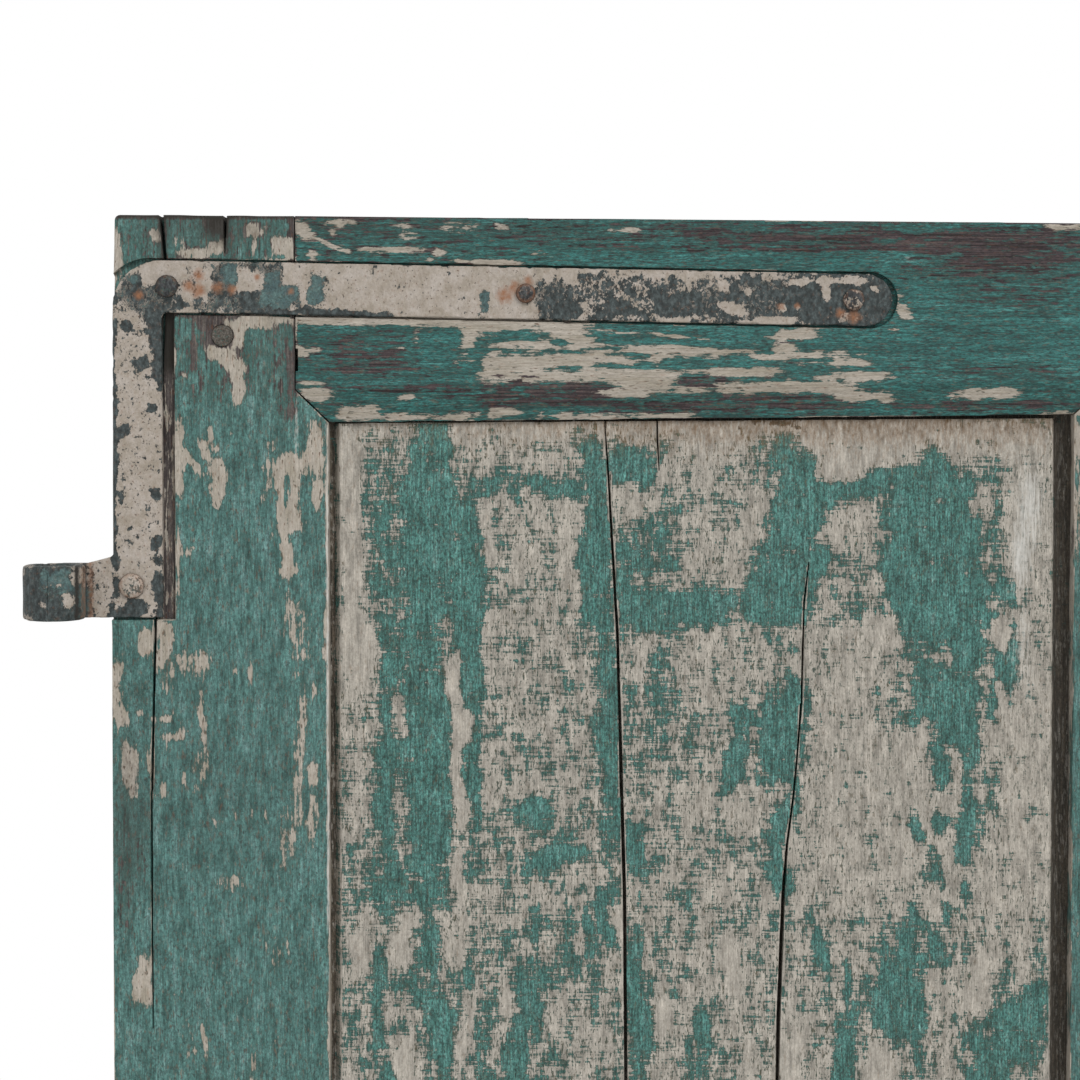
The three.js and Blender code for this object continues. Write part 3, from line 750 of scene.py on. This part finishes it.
dirtAndShade = {  # dirt, with painted shade under the strap's lower edge, and a darker band along the panel's top under the rail: across, down, half the width, half the height, how thick
    "stile": [
        (50, 6, 60, 16, 0.4), (55, 5, 5, 7, 0.6), (20, 52, 10, 6, 0.2), (50, 56, 12, 6, 0.3),
        (88, 60, 9, 10, 0.3), (92, 86, 5, 22, 0.26), (54, 300, 80, 80, 0.27),
        (6, 320, 12, 60, 0.26),
    ],
    "rail": [
        (170, 8, 130, 12, 0.3), (470, 24, 60, 22, 0.3), (345, 12, 80, 7, 0.26),
        (130, 76, 40, 12, 0.14), (300, 98, 200, 5, 0.12),
    ],
    "panel": [(420, 106, 200, 15, 0.32)],
}

# painted highlights: a glossy sheen on the panel's lock-side margin, highlight lines along the
# stile's arrises, small highlights on the stile and rail; across, down, half the width, half the
# height, how strong
bleachedPlaces = {
    "panel": [(480, 150, 8, 24, 0.6), (474, 178, 6, 14, 0.5), (477, 225, 8, 40, 0.35)],
    "stile": [
        (112.2, 200, 0.8, 130, 0.7), (112.2, 340, 0.8, 60, 0.5), (96.3, 110, 0.7, 18, 0.5),
        (34, 180, 1.2, 60, 0.25),
    ],
    "rail": [(415, 23, 3, 1.2, 0.5)],
}

# a warm, darker band along the panel's top, under the rail: across, down, half the width, half the
# height, how strong
warmBands = {"panel": [(390, 106, 260, 15, 0.44)]}
paintedDepth = 11  # mm: dirt with painted shade, the painted sheen and the warm band stay on the faces before this

wearByPaint = {
    # edges: how far a patch fades, how far its outline wanders in mm, how ragged it is
    # thinned: share of the top coat that is left; waves: the hollows' lengths on the three axes
    # strewn: what is scattered where the photograph doesn't show, with the mm2 of face that each
    # patch has, its smallest and largest half size in mm, and its shares across and down
    "stile": {
        "edges": (0.2, (1.8, 3), 1.7),
        "thinned": 1,
        "waves": (1, 1, 4),
        "strewn": (["chalk", "mottled", "teal", "chalk", "flecked"], 900, (2, 9), (0.6, 2.2)),
    },
    "rail": {
        "edges": (0.34, (9, 0.7), 1.0),
        "thinned": 1,
        "waves": (4, 1, 1),
        "strewn": (["streaked", "chalk", "dark", "mottled", "teal"], 900, (2, 9), (2.4, 0.6)),
    },
    "panel": {
        "edges": (0.34, (3.5, 7), 1.9),
        "thinned": 0.92,
        "waves": (1, 1, 4),
        "strewn": (["teal", "chalk", "mottled", "scraped", "teal"], 420, (2, 15), (0.6, 2.2)),
    },
}

backWear = {
    "base": (0.9, 0.95),
    "edges": (0.16, (1.0, 1.4), 1.0),
    "strewn": (320, ["chalk", "mottled", "wood"], (2, 18)),
    "starts": (0.55, 0.8),  # shares of the leaf's depth
}

arrisRub = [  # each coat rubbed off an arris: everywhere, more in spots, their size and range
    (0.2, 0.7, (16, 16, 28), 0.3, 0.7),
    (0.0, 0.5, (12, 12, 20), 0.45, 0.75),
]

tongue = {  # beside a panel's raised field, sunk behind it, bare wood with dirt and painted shade: mm deep, then shares
    "starts": (8.6, 10),
    "ends": 20,
    "coats": (0.12, 0.4),
    "grime": 0.2,
    "lockSideShade": 0.35,  # painted shade: how much more on the lock side, where the channel lies in the stile's shadow
    "lockFrom": 250,
}

housing = {  # the strip of sunk wood beside the strap's leg: mm, then shares
    "across": (26, 36),
    "down": (24, 214),
    "starts": (1.5, 2.6),
    "ends": 8,
    "coats": (0, 0.38),
    "grime": 0.12,
    "shadeBesideLeg": 0.8,  # painted shade in the gap beside the leg, added in its upper part and near the leg
    "shadeFades": (74, 92),
    "shadeAcross": 33,
}

splitShade = [  # painted shade in the stile's splits: across, half its width, how far down, how deep, share
    (27.3, 2.2, 26, 6, 0.5),
    (60, 1.8, 20, 6, 0.35),
]

headWear = {  # rain on the top edge: mm down, share of the leaf's depth, then shares
    "fades": (0.4, 2.6),
    "depth": 0.6,
    "coats": 0.8,
    "grime": 0.55,
}

plainTimber = {"patches": [], "arrises": [], "strewn": None, "grid": "wide"}

timberPieces = {
    "hinge_stile": {
        "paint": "stile",
        "base": (0.92, 1.0),
        "patches": hingeStilePatches,
        "arrises": [95.8, 113],
        "strewn": [0, 113, 372, 1950],
        "grid": "close",
    },
    "lock_stile": {
        "paint": "stile",
        "base": (0.92, 1.0),
        "patches": [("chalk", (503, 118, 2.5, 12)), ("mottled", (505, 160, 4, 24))],
        "arrises": [502, 519.2],
        "strewn": [502, 615, 60, 1950],
        "grid": "middle",
    },
    "top_rail": {"paint": "rail", "base": (0.8, 0.72), "patches": topRailPatches, "grid": "close"},
    "lock_rail": {"paint": "rail", "base": (0.84, 0.8), "strewn": [95, 520, 990, 1130]},
    "bottom_rail": {"paint": "rail", "base": (0.76, 0.62), "strewn": [95, 520, 1770, 1950]},
    "upper_panel_hinge_board": {
        "paint": "panel",
        "base": (0.5, 1.0),
        "patches": hingeBoardPatches,
        "arrises": [118.2],
        "strewn": [118, 268, 372, 1000],
        "grid": "close",
    },
    "upper_panel_lock_board": {
        "paint": "panel",
        "base": (0.4, 1.0),
        "patches": lockBoardPatches,
        "arrises": [491.5],
        "strewn": [268, 492, 372, 1000],
        "grid": "close",
    },
    "lower_panel_hinge_board": {
        "paint": "panel",
        "base": (0.5, 1.0),
        "strewn": [113, 246, 1130, 1770],
    },
    "lower_panel_lock_board": {
        "paint": "panel",
        "base": (0.45, 1.0),
        "strewn": [246, 502, 1130, 1770],
    },
}


def cutRows(made, faces, axis, places):
    # cuts the faces across one axis at every place, halving the list each time to stay quick
    if not places or not faces:
        return
    middle = len(places) // 2
    point, normal = Vector(), Vector()
    point[axis], normal[axis] = places[middle], 1
    corners = {corner for face in faces for corner in face.verts}
    edges = {edge for face in faces for edge in face.edges}
    result = bmesh.ops.bisect_plane(
        made, geom=[*corners, *edges, *faces], dist=1e-7, plane_co=point, plane_no=normal
    )
    kept = [part for part in result["geom"] if isinstance(part, bmesh.types.BMFace)]
    side = [(face, face.calc_center_median()[axis] < places[middle]) for face in kept]
    cutRows(made, [face for face, low in side if low], axis, places[:middle])
    cutRows(made, [face for face, low in side if not low], axis, places[middle + 1 :])


def gridRows(look, piece, box):
    # the rows in the row frame, on the three axes
    wide = look["wideGrid"]
    steps = {"close": look["closeGrid"][piece["paint"]], "middle": look["middleGrid"], "wide": wide}
    acrossStep, downStep = steps[piece["grid"]]
    lowAcross, highAcross = ((corner.x - hingeEdge) / mm for corner in box)
    lowDown, highDown = (leafTop - box[1].z) / mm, (leafTop - box[0].z) / mm
    near = look["arrisRow"]
    across = list(np.arange(lowAcross + acrossStep, highAcross - 1, acrossStep))
    across += [lowAcross + near, highAcross - near]
    for arris in piece["arrises"]:
        across += [arris - near, arris + near]
    down = [lowDown + near, highDown - near]
    if piece["grid"] != "wide":
        down += list(np.arange(lowDown + downStep, min(highDown, look["closeDown"]), downStep))
        lowDown = look["closeDown"]
    down += list(np.arange(lowDown + wide[1], highDown - 1, wide[1]))
    depths = [(corner.y - paintedFace) / mm for corner in box]
    through = [depths[0] + near, depths[0] + look["depthRow"], depths[1] - near]
    return (
        sorted(hingeEdge + value * mm for value in across),
        sorted(paintedFace + value * mm for value in through),
        sorted(leafTop - value * mm for value in down),
    )


def sawnTimber(nodeName, piece, look):
    # the solid cut into rows, fine where the paint needs it, and which corners lie on an arris
    made = bmesh.new()
    made.from_mesh(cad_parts[nodeName].data)
    bmesh.ops.remove_doubles(made, verts=made.verts, dist=look["merge"][0])
    flat = math.radians(look["flat"])
    bmesh.ops.dissolve_limit(made, angle_limit=flat, verts=made.verts, edges=made.edges)
    for axis, rows in enumerate(gridRows(look, piece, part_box(nodeName))):
        cutRows(made, list(made.faces), axis, rows)
    bmesh.ops.remove_doubles(made, verts=made.verts, dist=look["merge"][1])
    arrises = np.zeros(len(made.verts))
    made.verts.index_update()
    for edge in made.edges:
        if len(edge.link_faces) == 2 and edge.calc_face_angle_signed() > look["arrisTurn"]:
            for corner in edge.verts:
                arrises[corner.index] = 1
    mesh = bpy.data.meshes.new(nodeName + "_timber")
    made.to_mesh(mesh)
    made.free()
    return mesh, arrises


def weatherTimber(mesh, arrises, habits, look, seed):
    # the face worn in waves along the grain, and the arrises rounded
    places = leafPlaces(readPoints(mesh, "co"))
    size, low, high = look["hollows"]
    waves = softNoise(places, np.multiply(size, habits["waves"]), seed)
    hollow = look["hollow"] * smoothStep(low, high, waves)
    size, low, high = look["chips"]
    chips = smoothStep(low, high, softNoise(places, size, seed + 2))
    worn = arrises * (look["arrisWear"][0] + look["arrisWear"][1] * chips)
    return places, sinkSkin(mesh, hollow + worn)


def timberCoats(places, normals, arrises, piece, habits, seed):
    patches = list(piece["patches"])
    kinds, room, sizes, stretch = habits["strewn"]
    if piece["strewn"]:
        start, end, high, low = piece["strewn"]
        count = int((end - start) * (low - high) / room)
        patches += strewnPatches(seed + 5, piece["strewn"], count, kinds, sizes, stretch)
    left = coatsOn(places, piece["base"], patches, seed + 10, *habits["edges"])
    left[0] *= habits["thinned"]
    wholeLeaf = [0, leafWidth, 0, leafHeight]
    patches = strewnPatches(seed + 6, wholeLeaf, *backWear["strewn"], stretch)
    start, end = (leafDepth * share for share in backWear["starts"])
    back = smoothStep(start, end, places[:, 1])
    if piece["paint"] == "panel":
        back = (normals[:, 1] > 0.5) * 1.0
    behind = coatsOn(places, backWear["base"], patches, seed + 12, *backWear["edges"])
    left += back * (behind - left)
    for coat, (least, more, size, low, high) in enumerate(arrisRub):
        spots = smoothStep(low, high, softNoise(places, size, seed + 3 + coat))
        left[coat] -= arrises * (least + more * spots)
    return left


def filmOf(spots, piece, places):
    film = np.zeros(len(places))
    across, depth, down = places.T
    if piece["grid"] == "close":
        for atAcross, atDown, halfAcross, halfDown, share in spots.get(piece["paint"], ()):
            far = ((across - atAcross) / halfAcross) ** 2 + ((down - atDown) / halfDown) ** 2
            film += share * np.exp(-far) * (depth < paintedDepth)
    return film


def finishTimber(nodeName, piece, look, seed):
    habits = wearByPaint[piece["paint"]]
    mesh, arrises = sawnTimber(nodeName, piece, look)
    places, normals = weatherTimber(mesh, arrises, habits, look, seed)
    left = timberCoats(places, normals, arrises, piece, habits, seed)
    across, depth, down = places.T
    # dirt, and painted shade, as one dark film
    grime = filmOf(dirtAndShade, piece, places)
    if piece["paint"] == "panel":
        sunk = smoothStep(*tongue["starts"], depth) * (normals[:, 1] < -0.5)
        sunk *= depth < tongue["ends"]
        layOver(left, sunk, tongue["coats"])
        # dirt and painted shade in the channel, with more painted shade on the lock side
        grime += sunk * (tongue["grime"] + tongue["lockSideShade"] * (across > tongue["lockFrom"]))
    if nodeName == "hinge_stile":
        (start, end), (high, low) = housing["across"], housing["down"]
        inside = (across > start) & (across < end) & (down > high) & (down < low)
        sunk = inside * smoothStep(*housing["starts"], depth) * (depth < housing["ends"])
        layOver(left, sunk, housing["coats"])
        # painted shade in the gap beside the leg, darkest in its upper part near the leg
        legShade = (1 - smoothStep(*housing["shadeFades"], down)) * (across < housing["shadeAcross"])
        grime += sunk * (housing["grime"] + housing["shadeBesideLeg"] * legShade)
        # painted shade on the walls of the splits
        for atAcross, half, reach, deep, share in splitShade:
            near = np.exp(-(((across - atAcross) / half) ** 2))
            grime += share * near * (down < reach) * (depth < deep)
    if down.min() < headWear["fades"][1]:
        edge = 1 - smoothStep(*headWear["fades"], down)
        edge *= depth < leafDepth * headWear["depth"]
        left -= edge * headWear["coats"]
        grime += edge * headWear["grime"]
    # the warm, darker band along the panel's top, under the rail
    warmBand = filmOf(warmBands, piece, places)
    # painted sheen: highlights laid on in near-white
    bleached = filmOf(bleachedPlaces, piece, places)
    dress(mesh, left, grime=grime, rust=warmBand, bleached=bleached)
    mesh.set_sharp_from_angle(angle=math.radians(look["smoothBelow"]))
    placePiece(nodeName + "_worn", mesh, materials[piece["paint"]], nodeName)
    return len(mesh.polygons)


for order, (nodeName, piece) in enumerate(timberPieces.items()):
    count = finishTimber(nodeName, {**plainTimber, **piece}, timberLook, 40 + 17 * order)
    print("timber", nodeName, count, "faces")

strapLook = {
    "voxel": 1.0,  # mm between the skin's points
    "pits": (0.45, 3.4),  # mm: how deep and how large
    "base": (0.05, 0.93),
    "edges": (0.16, (1.4, 1.4), 1.8),  # how softly a patch fades, how far it wanders, how ragged
    "leg": (27, 52, 0.15),  # left of the first, below the second, less undercoat by the third
    "eatenUnder": 0.3,
    "rustFades": (0.2, 1.7),  # in radii of a spot
    "rust": 0.78,
    "sideGrimeAndShade": (0.8, 0.3),  # dirt and painted shade on the strap's sides: deeper than this, how much
    # lines at the eye, rust and the painted shade in the crease of the rolled eye: across, half the
    # width, how much; both lie below eyeDown
    "eyeRust": (-10.4, 1.7, 0.7),
    "eyeCreaseShade": (-13.6, 1.2, 0.85),
    "eyeDown": 175,
}

topStrapPatches = [
    ("mixed", (-27, 196, 17, 18)),
    ("flaked", (-24, 205, 17, 5)),
    ("slate", (-34, 189, 5, 5)),
    ("teal", (-22, 189, 8, 6), (-12, 199, 3, 8)),
    ("cream", (-17, 198, 2.8, 2.8), (-23, 191.4, 4, 1.4), (-30, 202, 2, 1.6)),
    ("flaked", (-36, 194, 2, 7)),
    ("cream", (-14, 187.6, 2, 3)),
    ("slate", (13, 203, 4, 3)),
    ("mixed", (74, 39, 36, 15), (22, 44, 16, 8), (12, 36, 8, 7)),
    ("cream", (48, 36, 4, 9), (72, 34, 8, 5)),
    ("teal", (61.6, 31, 3, 6)),
    ("slate", (74, 44, 6, 4.4)),
    ("cream", (94, 32, 4.6, 5.6)),
    ("teal", (89, 44, 10, 5.4)),
    ("cream", (102, 38, 2.4, 11)),
    ("slate", (1.8, 125, 1.6, 70), (15.5, 38, 3.2, 7), (46, 30, 2, 2), (8, 55.6, 2.6, 2.6)),
    ("slate", (16, 75.6, 3.4, 3), (24.5, 68, 4, 21, 0.05), (20.5, 100, 2, 2.2)),
    ("slate", (7.4, 112.3, 3, 2.6), (23.2, 145, 1.8, 2.2), (5.4, 146.6, 1.8, 4.4)),
    ("slate", (23.2, 172, 2.4, 2.6), (25, 197, 2.6, 13), (8, 206, 6.5, 3.2)),
    ("teal", (14, 33, 1.8, 2.4)),
    ("slate", (40, 45.5, 7, 3)),
    ("teal", (85.5, 34, 4.4, 4.4), (107.6, 39, 3.4, 8)),
    ("slate", (112, 51.5, 30, 1.6)),
    ("teal", (194.6, 45, 2.2, 5)),
    ("flaked", (234, 46, 14, 12)),
    ("slate", (239, 50, 6, 5), (251, 33, 7, 2.4)),
    ("speckled", (275, 44, 30, 13)),
    ("slate", (262, 50, 6, 3), (297, 46, 14, 8)),
    ("speckled", (292, 36, 12, 3.4)),
    ("flaked", (340, 46, 36, 15)),
    ("slate", (368, 45, 20, 14), (392, 46, 16, 15)),
    ("cream", (318, 36.4, 2.8, 2.6), (330.6, 41, 2.8, 2.6), (323.5, 49, 4.6, 3, 1)),
    ("cream", (343, 55.4, 17, 1.8)),
    ("speckled", (310, 54, 10, 3)),
    ("cream", (361, 34.4, 8, 1.2), (379, 34.8, 13, 1.6), (397, 40.2, 2.6, 2.6, 1)),
    ("cream", (372.5, 42, 1.6, 2.4)),
    ("speckled", (385, 53.6, 8, 2.2)),
    ("cream", (349, 48, 2.4, 2.4), (356.6, 47.5, 2, 2.4)),
]

topStrapRust = [  # across, down, radius
    (15.3, 42, 2.4), (46.4, 31.6, 3), (46, 39.5, 3.6), (41, 37, 3), (56, 38, 3), (63.5, 39, 2.6),
    (76.6, 32.8, 1.6), (205, 42, 4), (210, 38, 3.4), (217, 34.6, 2.6), (348, 48, 1.8),
    (356.6, 47.5, 1.6), (385.8, 53, 3.4), (379, 51, 2.4), (94, 40, 1.6),
]


def remeshed(nodeName, voxel):
    copied = bpy.data.objects.new("forging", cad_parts[nodeName].data.copy())
    bpy.context.scene.collection.objects.link(copied)
    change = copied.modifiers.new("even skin", "REMESH")
    change.mode, change.voxel_size, change.adaptivity = "VOXEL", voxel * mm, 0
    bpy.context.view_layer.update()
    evaluated = copied.evaluated_get(bpy.context.evaluated_depsgraph_get())
    mesh = bpy.data.meshes.new_from_object(evaluated)
    bpy.data.objects.remove(copied)
    return mesh


pitting = {"range": (0.6, 0.85), "waves": 3, "waveDepth": 0.5}  # waves against the pits' sizes


def evenSkin(nodeName, look, seed, flipped=False):
    # an even skin over the solid, with small hollows eaten into it
    mesh = remeshed(nodeName, look["voxel"])
    places = leafPlaces(readPoints(mesh, "co"))
    if flipped:  # the lower strap wears the same way, turned over
        places[:, 2] = leafHeight - places[:, 2]
    depth, size = look["pits"]
    eaten = smoothStep(*pitting["range"], softNoise(places, (size,) * 3, seed))
    waves = softNoise(places, (size * pitting["waves"],) * 3, seed + 1)
    sinkSkin(mesh, (eaten + waves * pitting["waveDepth"]) * depth)
    return mesh, places, eaten


def eyeLine(places, look, title):
    at, half, share = look[title]
    line = share * np.exp(-(((places[:, 0] - at) / half) ** 2))
    return line * (places[:, 2] > look["eyeDown"])


def strap(nodeName, look, flipped, seed):
    mesh, places, eaten = evenSkin(nodeName, look, seed, flipped)
    left = coatsOn(places, look["base"], topStrapPatches, seed + 3, *look["edges"])
    across, depth, down = places.T
    legAcross, legDown, share = look["leg"]
    left[1] -= share * (across < legAcross) * (down > legDown) + look["eatenUnder"] * eaten
    rust = eyeLine(places, look, "eyeRust")
    for atAcross, atDown, radius in topStrapRust:
        away = np.hypot(across - atAcross, down - atDown) / radius
        rust = np.maximum(rust, 1 - smoothStep(*look["rustFades"], away))
    # dirt and painted shade on the strap's sides, and painted shade in the eye's crease
    sideDepth, share = look["sideGrimeAndShade"]
    grime = share * (depth > sideDepth) + eyeLine(places, look, "eyeCreaseShade")
    dress(mesh, left, grime=grime, rust=rust * look["rust"])
    placePiece(nodeName + "_forged", mesh, materials["strap"], nodeName)
    return len(mesh.polygons)


for order, (nodeName, flipped) in enumerate((("top_strap", False), ("bottom_strap", True))):
    print("ironwork", nodeName, strap(nodeName, strapLook, flipped, 300 + order), "faces")

nailLook = {
    "voxel": 0.42,
    "pits": (0.3, 2.2),
    "speckles": (2, 2, 2),
    "speckled": (0.5, 0.3, 0.1),  # how much the speckles add to the coats and to the rust
    "rubbed": 0.1,
    "rim": (0.7, 1),  # shares of the head's radius
    # dirt and painted shade in a ring round the head
    "rimGrimeAndShade": 0.45,
    "rustRim": (0.45, 0.95),
}

nailCoats = {  # top coat, undercoat and rust on each nail's head
    "corner": (0.25, 0.05, 0.12),
    "middle": (0.05, 0.12, 0.45),
    "tip": (0.05, 0.3, 0.2),
    "leg": (0.22, 0.85, 0.3),
}


def nailHeads(strapName, look, seed):
    for order, (place, (top, under, rust)) in enumerate(nailCoats.items()):
        nodeName = f"{strapName}_{place}_nail"
        mesh, places, _ = evenSkin(nodeName, look, seed + order)
        low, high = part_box(nodeName)
        centre = leafPlaces(np.array([(low + high) / 2]))[0]
        away = np.hypot(places[:, 0] - centre[0], places[:, 2] - centre[2])
        reach = away / away.max()
        speckle = softNoise(places, look["speckles"], seed + 9)
        moreTop, moreUnder, moreRust = look["speckled"]
        left = top + moreTop * speckle - look["rubbed"], under + moreUnder * speckle
        # dirt and painted shade round the head's rim
        rimDirtAndShade = look["rimGrimeAndShade"] * smoothStep(*look["rim"], reach)
        rust = rust * smoothStep(*look["rustRim"], reach) + moreRust * speckle
        dress(mesh, left, grime=rimDirtAndShade, rust=rust)
        placePiece(nodeName + "_forged", mesh, materials["nail"], nodeName)


nailHeads("top_strap", nailLook, 400)
nailHeads("bottom_strap", nailLook, 420)
print("nails driven")

pegLook = {
    "voxel": 0.7,
    "swell": 0.09,  # it fills its hole
    "pits": (0.25, 2.4),
    "speckles": (3, 3, 3),
    "top": (0.06, 0.36, 0.5),  # everywhere, in the speckles, on the back
    "under": (0.1, 0.3),
    "grime": 0.25,
}

pegNodes = sorted(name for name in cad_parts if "_peg_" in name)
for order, nodeName in enumerate(pegNodes):
    mesh, places, _ = evenSkin(nodeName, pegLook, 500 + order)
    points = readPoints(mesh, "co")
    middle = (points.max(axis=0) + points.min(axis=0)) / 2
    points[:, (0, 2)] += (points - middle)[:, (0, 2)] * pegLook["swell"]
    mesh.vertices.foreach_set("co", points.ravel())
    speckle = softNoise(places, pegLook["speckles"], 520 + order)
    least, speckled, behind = pegLook["top"]
    top = least + speckled * speckle + behind * (places[:, 1] > leafDepth / 2)
    least, speckled = pegLook["under"]
    left = top, least + speckled * speckle
    dress(mesh, left, grime=pegLook["grime"] * speckle, rust=np.zeros(len(places)))
    placePiece(nodeName + "_worn", mesh, materials["peg"], nodeName)
print("pegs in:", len(pegNodes))

studio = {
    "floor": "#f2f2f0",
    "floorRough": 0.9,
    "floorReach": 3.4,  # metres
    "floorSides": 96,
    "ambient": 0.62,
    # power, then degrees: to the right of the camera, up, and how wide the light is
    "key": (1.55, 34, 38, 24),
    "fill": (0.35, -40, 12, 60),
}

view = {
    "lens": 75.0,
    "sensor": 36.0,
    "middleAcross": 223.2,  # mm on the painted face at the middle of the picture
    "middleDown": 169.0,
    "distance": 1170.0,
    "height": 1656.0,
    "pitch": 1.6,
    "clip": (0.05, 100),  # metres
}


def studioFloor():
    plane = bpy.data.meshes.new("floor")
    reach, level, sides = studio["floorReach"], cadBounds[0][2], studio["floorSides"]
    turns = [2 * math.pi * side / sides for side in range(sides)]
    rim = [(reach * math.cos(turn), reach * math.sin(turn), level) for turn in turns]
    plane.from_pydata(rim, [], [tuple(range(sides))])
    floor = bpy.data.objects.new("floor", plane)
    bpy.context.scene.collection.objects.link(floor)
    material = bpy.data.materials.new("matt_studio_floor")
    material.use_nodes = True
    surface = material.node_tree.nodes["Principled BSDF"]
    surface.inputs["Base Color"].default_value = paintColour(studio["floor"])
    surface.inputs["Roughness"].default_value = studio["floorRough"]
    plane.materials.append(material)


def studioWorld():
    world = bpy.data.worlds.new("white studio")
    bpy.context.scene.world = world
    world.use_nodes = True
    tree = world.node_tree
    tree.nodes.clear()
    path = addNode(tree, "LightPath")
    seen = path.outputs["Is Camera Ray"]
    for ray in ("Is Glossy Ray", "Is Transmission Ray"):
        either = {"operation": "MAXIMUM"}
        seen = addNode(tree, "Math", either, {0: seen, 1: path.outputs[ray]})
    levels = {"To Min": studio["ambient"], "To Max": 1.0}
    strength = addNode(tree, "MapRange", levels, {"Value": seen})
    sky = addNode(tree, "Background", {"Color": (1, 1, 1, 1)}, {"Strength": strength})
    addNode(tree, "OutputWorld", {}, {"Surface": sky})


def studioLight(name, power, turn, rise, angle):
    lamp = bpy.data.lights.new(name, "SUN")
    lamp.energy, lamp.angle = power, math.radians(angle)
    light = bpy.data.objects.new(name, lamp)
    bpy.context.scene.collection.objects.link(light)
    across, up = math.radians(turn), math.radians(rise)
    towards = Vector(
        (math.sin(across) * math.cos(up), -math.cos(across) * math.cos(up), math.sin(up))
    )
    light.rotation_mode = "QUATERNION"
    light.rotation_quaternion = towards.to_track_quat("Z", "Y")


def photographersCamera():
    lens = bpy.data.cameras.new("camera")
    lens.lens, lens.sensor_width = view["lens"], view["sensor"]
    camera = bpy.data.objects.new("camera", lens)
    bpy.context.scene.collection.objects.link(camera)
    pitch = math.radians(view["pitch"])
    distance = view["distance"] * mm
    height = view["height"] * mm
    camera.location = (hingeEdge + view["middleAcross"] * mm, paintedFace - distance, height)
    camera.rotation_euler = (math.pi / 2 - pitch, 0, 0)
    middle = leafTop - view["middleDown"] * mm
    # the rest of the drop to the picture's middle comes from a small shift of the lens
    drop = math.atan2(height - middle, distance) - pitch
    lens.shift_y = -math.tan(drop) * lens.lens / lens.sensor_width
    lens.clip_start, lens.clip_end = view["clip"]
    bpy.context.scene.camera = camera
    print("camera shift", round(lens.shift_y, 4))


studioFloor()
studioWorld()
studioLight("key", *studio["key"])
studioLight("fill", *studio["fill"])
photographersCamera()
bpy.context.scene.view_settings.view_transform = "Standard"
print("studio set")
